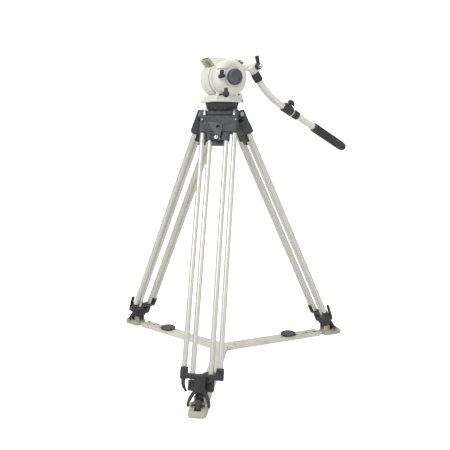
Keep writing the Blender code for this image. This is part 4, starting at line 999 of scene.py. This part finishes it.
def make_spreader(n):
    """One arm of the ground spreader with its slider, end pad, knob and foot yoke."""
    place = arm_frame(n)
    slider_body, pad_body = f"slider_{n}", f"pad_{n}"
    arm = block((0.0523, -ARM_W, 0.0), (0.425, ARM_W, ARM_H), 0.0018, 3)
    tunnel = block((0.090, -0.0198, -0.01), (0.45, 0.0198, TUNNEL_H))
    dish = block((0.135, -0.0105, 0.0157), (0.245, 0.0105, 0.02), 0.0006)
    slot = block((0.352, -0.0035, 0.0150), (0.408, 0.0035, 0.02), 0.0012)
    finish_piece(f"spreader_{n}_channel", combine(arm, cut=[tunnel, dish, slot]), place, "spreader", "spreader",
                 f"spreader_{n}_arm", edge=0.0004)
    marks = [block((x0, y0, 0.0150), (x1, y1, 0.0168), 0.0003)
             for x0, x1, y0, y1 in ((0.345, 0.372, -0.0115, -0.0085), (0.3695, 0.3725, -0.0110, 0.0060),
                                    (0.384, 0.397, 0.0040, 0.0080), (0.401, 0.415, -0.0120, -0.0050),
                                    (0.243, 0.256, -0.0170, -0.0140), (0.316, 0.333, -0.0100, -0.0065),
                                    (0.320, 0.335, 0.0070, 0.0100))]
    finish_piece(f"spreader_{n}_marks", group_of(marks), place, "rust", "spreader", edge=0)
    slider = block((0.250, -0.0105, 0.0008), (0.4445, 0.0105, 0.0130), 0.0012, 3)
    inside = block((0.24, -0.008, -0.01), (0.46, 0.008, 0.0105))
    finish_piece(f"spreader_{n}_inner_bar", combine(slider, cut=[inside]), place, "spreader", slider_body,
                 f"spreader_{n}_slider", edge=0.0003)

    pad = loft([rounded_loop(0.0388, 0.0272, 0.013, 0.0), rounded_loop(0.0395, 0.0280, 0.0135, 0.0010),
                rounded_loop(0.0395, 0.0280, 0.0135, 0.0110), rounded_loop(0.0380, 0.0266, 0.0128, 0.0165),
                rounded_loop(0.0360, 0.0248, 0.0120, 0.0180)])
    pad.data.transform(Matrix.Translation((0.4855, 0, 0)))
    tongue = block((0.335, -0.0065, 0.002), (0.456, 0.0065, 0.010))
    ears = [block((0.447, min(a, b), 0.010), (0.4725, max(a, b), 0.0395), 0.0018, 3)
            for a, b in ((0.0125, 0.0170), (-0.0125, -0.0170))]
    hinge = [block((0.484, side * 0.024 - 0.003, 0.010), (0.496, side * 0.024 + 0.003, 0.030), 0.002, 3)
             for side in SIDES]
    axle = rod((ANKLE_X, -0.015, ANKLE_Z), (ANKLE_X, 0.015, ANKLE_Z), 0.0031)
    bore = rod((YOKE_X, -0.04, YOKE_Z), (YOKE_X, 0.04, YOKE_Z), 0.0027)
    slot = block((0.474, -0.0108, 0.0125), (0.5150, 0.0108, 0.03), 0.001)
    finish_piece(f"spreader_{n}_rubber_pad", combine(pad, [tongue, *ears, *hinge, axle], [bore, slot]), place,
                 "pad", pad_body, f"spreader_{n}_end_pad", edge=0.0005)
    cushion = combine(rod((0.4838, 0, 0.0375), (0.5075, 0, 0.0150), 0.0092, 40, 0.0040),
                      cut=[rod((YOKE_X, -0.04, YOKE_Z), (YOKE_X, 0.04, YOKE_Z), 0.0027)])
    finish_piece(f"spreader_{n}_heel_cushion", cushion, place, "rubber", pad_body, edge=0)
    discs = [turned([(0.0048, 0.0), (0.0048, 0.0010), (0.00384, 0.0018), (0, 0.0019)], (0, side, 0),
                    (ANKLE_X, side * 0.0170, 0.033), 32) for side in SIDES]
    finish_piece(f"spreader_{n}_ankle_discs", group_of(discs), place, "brass", pad_body, edge=0)

    knob_at = Vector((local_point(place, f"spreader_{n}_knob_turn").x, 0, 0.0168))
    knob = turned([(0.010, 0.0), (0.010, 0.0022), (0.0285, 0.0024), (0.0297, 0.0042), (0.0297, 0.0078),
                   (0.0278, 0.0098), (0.0240, 0.0100), (0.0230, 0.0088), (0.0090, 0.0088), (0.0080, 0.0098),
                   (0.0030, 0.0102), (0, 0.0102)], (0, 0, 1), knob_at, 96)
    finish_piece(f"spreader_{n}_knob_disc", knob, place, "knob", f"knob_{n}", f"spreader_{n}_knob", edge=0.0003)
    ridges = copies(block((-0.0004, -0.0007, 0.0040), (0.0008, 0.0007, 0.0078), 0.0002), "black",
                    Count=2 * sizes().knurls, Radius=0.0296)
    ridges.data.transform(Matrix.Translation(knob_at))
    finish_piece(f"spreader_{n}_knob_knurl", ridges, place, "black", f"knob_{n}", edge=0)

    yoke_place = place @ Matrix.Translation((YOKE_X, 0, YOKE_Z)) @ Matrix.Rotation(YOKE_LEAN, 4, "Y")
    outline = both_sides([(0.0348, -0.0060), (0.0352, 0.0080), (0.0330, 0.0170), (0.0290, 0.0260), (0.0238, 0.0350),
                          (0.0185, 0.0450), (0.0165, 0.0520), (0.0165, 0.0850)])
    window = both_sides([(0.0288, -0.0120), (0.0286, 0.0050), (0.0245, 0.0130), (0.0205, 0.0210), (0.0155, 0.0290),
                         (0.0080, 0.0360)])
    frame_bar = combine(prism(outline, "X", -0.0038, 0.0038),
                        [rod((0, -0.0160, 0.084), (0, 0.0160, 0.084), 0.0054, 40, 0.001)],
                        [prism(window, "X", -0.01, 0.01)])
    frame_bar = combine(frame_bar, [rod((0, -0.0340, 0), (0, 0.0340, 0), 0.0023)])
    finish_piece(f"spreader_{n}_foot_yoke", frame_bar, yoke_place, "black", f"yoke_{n}", f"spreader_{n}_yoke",
                 edge=0.0007)
    caps = [turned([(0.0046, 0.0), (0.0046, 0.0010), (0.0036, 0.0016), (0, 0.0017)], (0, side, 0),
                   (0, side * 0.0347, 0), 32) for side in SIDES]
    finish_piece(f"spreader_{n}_yoke_caps", group_of(caps), yoke_place, "steel", f"yoke_{n}", edge=0)


def make_hub():
    """The Y-shaped plate where the three arms meet."""
    reach, half = 0.0518, 0.0218
    corners = []
    between = math.radians(60)
    notch = Matrix.Rotation(between, 3, "Z") @ Vector((half / math.sin(between), 0, 0))
    for n in LEGS:
        turn = arm_frame(n).to_3x3()
        corners += [turn @ Vector((reach, -half, 0)), turn @ Vector((reach, half, 0)), turn @ notch]
    loops = [[(corner.x * scale, corner.y * scale, z) for corner in corners]
             for z, scale in ((0.0, 0.985), (0.0010, 1.0), (0.0155, 1.0), (0.0165, 0.985))]
    finish_piece("hub_plate", loft(loops), Matrix.Identity(4), "spreader", "spreader", "spreader_hub", edge=0)


# ---------------------------------------------------------------- the nodes that stay as the frame has them
KEPT_FINISH = {"crown_casting": "casting", "levelling_ball": "steel", "bowl_clamp_knob": "black", "tilt_axle": "steel",
               "camera_plate": "black", "plate_lock_clip": "black"}


def paint_kept_nodes():
    finishes = dict(KEPT_FINISH)
    finishes.update({f"leg_{n}_hinge_pin": "steel" for n in LEGS})
    for name, node in frame["nodes"].items():
        finish = finishes.get(name, "black")
        for slot_at in node.material_slots:
            slot_at.material = finish_material(finish, own=False)


def build_stage():
    """Pale floor running up into a backdrop, soft studio lights and the camera."""
    bm = bmesh.new()
    depth, rise, turn = 7.0, 5.0, 1.6
    profile = [(-6.0, 0.0), (depth - turn, 0.0)]
    profile += [(depth - turn + turn * math.sin(a), turn - turn * math.cos(a))
                for a in (math.pi / 2 * i / 16 for i in range(1, 17))] + [(depth, rise)]
    rows = [[bm.verts.new((x, y, z)) for y, z in profile] for x in (-9.0, 9.0)]
    for i in range(len(profile) - 1):
        bm.faces.new((rows[0][i], rows[1][i], rows[1][i + 1], rows[0][i + 1]))
    floor = shape("studio_floor", bm)
    floor.data.shade_smooth()
    mat = bpy.data.materials.new("studio_floor")
    mat.use_nodes = True
    shader = mat.node_tree.nodes["Principled BSDF"]
    shader.inputs["Base Color"].default_value = (0.90, 0.90, 0.90, 1.0)
    shader.inputs["Roughness"].default_value = 0.75
    shader.inputs["Emission Color"].default_value = (1.0, 1.0, 1.0, 1.0)
    seen = mat.node_tree.nodes.new("ShaderNodeLightPath")
    glow = math_node(mat.node_tree, "MULTIPLY", seen.outputs["Is Camera Ray"], 0.8)
    mat.node_tree.links.new(glow, shader.inputs["Emission Strength"])
    floor.data.materials.append(mat)

    for name, place, target, size, power in (("key_light", (-1.6, -2.2, 3.0), (0, 0, 0.6), 1.8, 62.0),
                                             ("fill_light", (2.6, -1.8, 1.9), (0, 0, 0.6), 2.6, 13.0),
                                             ("top_light", (0.2, 0.9, 3.4), (0, 0, 0.4), 2.4, 28.0)):
        light = bpy.data.lights.new(name, "AREA")
        light.shape = "DISK"
        light.size = size
        light.energy = power
        lamp = bpy.data.objects.new(name, light)
        bpy.context.collection.objects.link(lamp)
        lamp.location = place
        lamp.rotation_euler = (Vector(target) - Vector(place)).to_track_quat("-Z", "Y").to_euler()

    world = bpy.data.worlds.new("studio")
    world.use_nodes = True
    world.node_tree.nodes["Background"].inputs["Color"].default_value = (1.0, 1.0, 1.0, 1.0)
    world.node_tree.nodes["Background"].inputs["Strength"].default_value = 0.50
    bpy.context.scene.world = world
    bpy.context.scene.view_settings.view_transform = "Standard"

    camera = bpy.data.cameras.new("camera")
    camera.angle = math.radians(44.97)
    camera.clip_end = 40.0
    holder = bpy.data.objects.new("camera", camera)
    bpy.context.collection.objects.link(holder)
    holder.location = (0.0, -1.9933, 0.8239)
    holder.rotation_euler = (math.radians(90 - 9.595), 0.0, math.radians(-0.313))
    bpy.context.scene.camera = holder


# ---------------------------------------------------------------- operators
class TRIPOD_OT_kept_nodes(bpy.types.Operator):
    """Give the parts that keep their shape their finish"""
    bl_idname = "tripod.kept_nodes"
    bl_label = "Finish the kept parts"

    def execute(self, context):
        paint_kept_nodes()
        return {"FINISHED"}


class TRIPOD_OT_crown(bpy.types.Operator):
    """Add the ribs and the rim of the bowl"""
    bl_idname = "tripod.crown"
    bl_label = "Bowl and crown"

    def execute(self, context):
        make_crown()
        return {"FINISHED"}


class TRIPOD_OT_legs(bpy.types.Operator):
    """Make the tubes, castings and clamp levers of the three legs"""
    bl_idname = "tripod.legs"
    bl_label = "Legs"

    def execute(self, context):
        for n in LEGS:
            make_leg_tubes(n)
            make_upper_casting(n)
            make_clamp_lever(n)
            make_lower_casting(n)
        return {"FINISHED"}


class TRIPOD_OT_feet(bpy.types.Operator):
    """Make the rubber feet of the three legs"""
    bl_idname = "tripod.feet"
    bl_label = "Feet"

    def execute(self, context):
        for n in LEGS:
            make_foot(n)
        return {"FINISHED"}


class TRIPOD_OT_head(bpy.types.Operator):
    """Make the drum, the platform and the pan base of the fluid head"""
    bl_idname = "tripod.head"
    bl_label = "Fluid head"

    def execute(self, context):
        make_tilt_body()
        make_pan_base()
        return {"FINISHED"}


class TRIPOD_OT_controls(bpy.types.Operator):
    """Make the drag knob, the tilt lock and the pan lock"""
    bl_idname = "tripod.controls"
    bl_label = "Head controls"

    def execute(self, context):
        make_head_controls()
        return {"FINISHED"}


class TRIPOD_OT_pan_bar(bpy.types.Operator):
    """Make the pan bar with its bracket, clamps, tubes and grip"""
    bl_idname = "tripod.pan_bar"
    bl_label = "Pan bar"

    def execute(self, context):
        make_bar()
        return {"FINISHED"}


class TRIPOD_OT_spreader(bpy.types.Operator):
    """Make the hub, arms, pads, knobs and yokes of the ground spreader"""
    bl_idname = "tripod.spreader"
    bl_label = "Ground spreader"

    def execute(self, context):
        make_hub()
        for n in LEGS:
            make_spreader(n)
        return {"FINISHED"}


class TRIPOD_OT_stage(bpy.types.Operator):
    """Set up the floor, the lights and the camera"""
    bl_idname = "tripod.stage"
    bl_label = "Studio"

    def execute(self, context):
        build_stage()
        return {"FINISHED"}


class TRIPOD_PT_panel(bpy.types.Panel):
    """Sidebar panel with the settings and one button for each group of parts"""
    bl_idname = "TRIPOD_PT_panel"
    bl_label = "Tripod"
    bl_space_type = "VIEW_3D"
    bl_region_type = "UI"
    bl_category = "Tripod"

    def draw(self, context):
        layout = self.layout
        for settings in (context.scene.tripod_sizes, context.scene.tripod_finish):
            box = layout.box()
            for name in settings.bl_rna.properties.keys():
                if name not in {"rna_type", "name"}:
                    box.prop(settings, name)
        for operator in OPERATORS:
            layout.operator(operator.bl_idname)


OPERATORS = (TRIPOD_OT_stage, TRIPOD_OT_kept_nodes, TRIPOD_OT_crown, TRIPOD_OT_legs, TRIPOD_OT_feet, TRIPOD_OT_head,
             TRIPOD_OT_controls, TRIPOD_OT_pan_bar, TRIPOD_OT_spreader)
CLASSES = (TripodSizes, TripodFinish, *OPERATORS, TRIPOD_PT_panel)


def register():
    for cls in CLASSES:
        bpy.utils.register_class(cls)
    bpy.types.Scene.tripod_sizes = bpy.props.PointerProperty(type=TripodSizes)
    bpy.types.Scene.tripod_finish = bpy.props.PointerProperty(type=TripodFinish)


def unregister():
    del bpy.types.Scene.tripod_finish
    del bpy.types.Scene.tripod_sizes
    for cls in reversed(CLASSES):
        bpy.utils.unregister_class(cls)


def main():
    register()
    for operator in OPERATORS:
        group, name = operator.bl_idname.split(".")
        getattr(getattr(bpy.ops, group), name)()


if __name__ == "__main__":
    main()
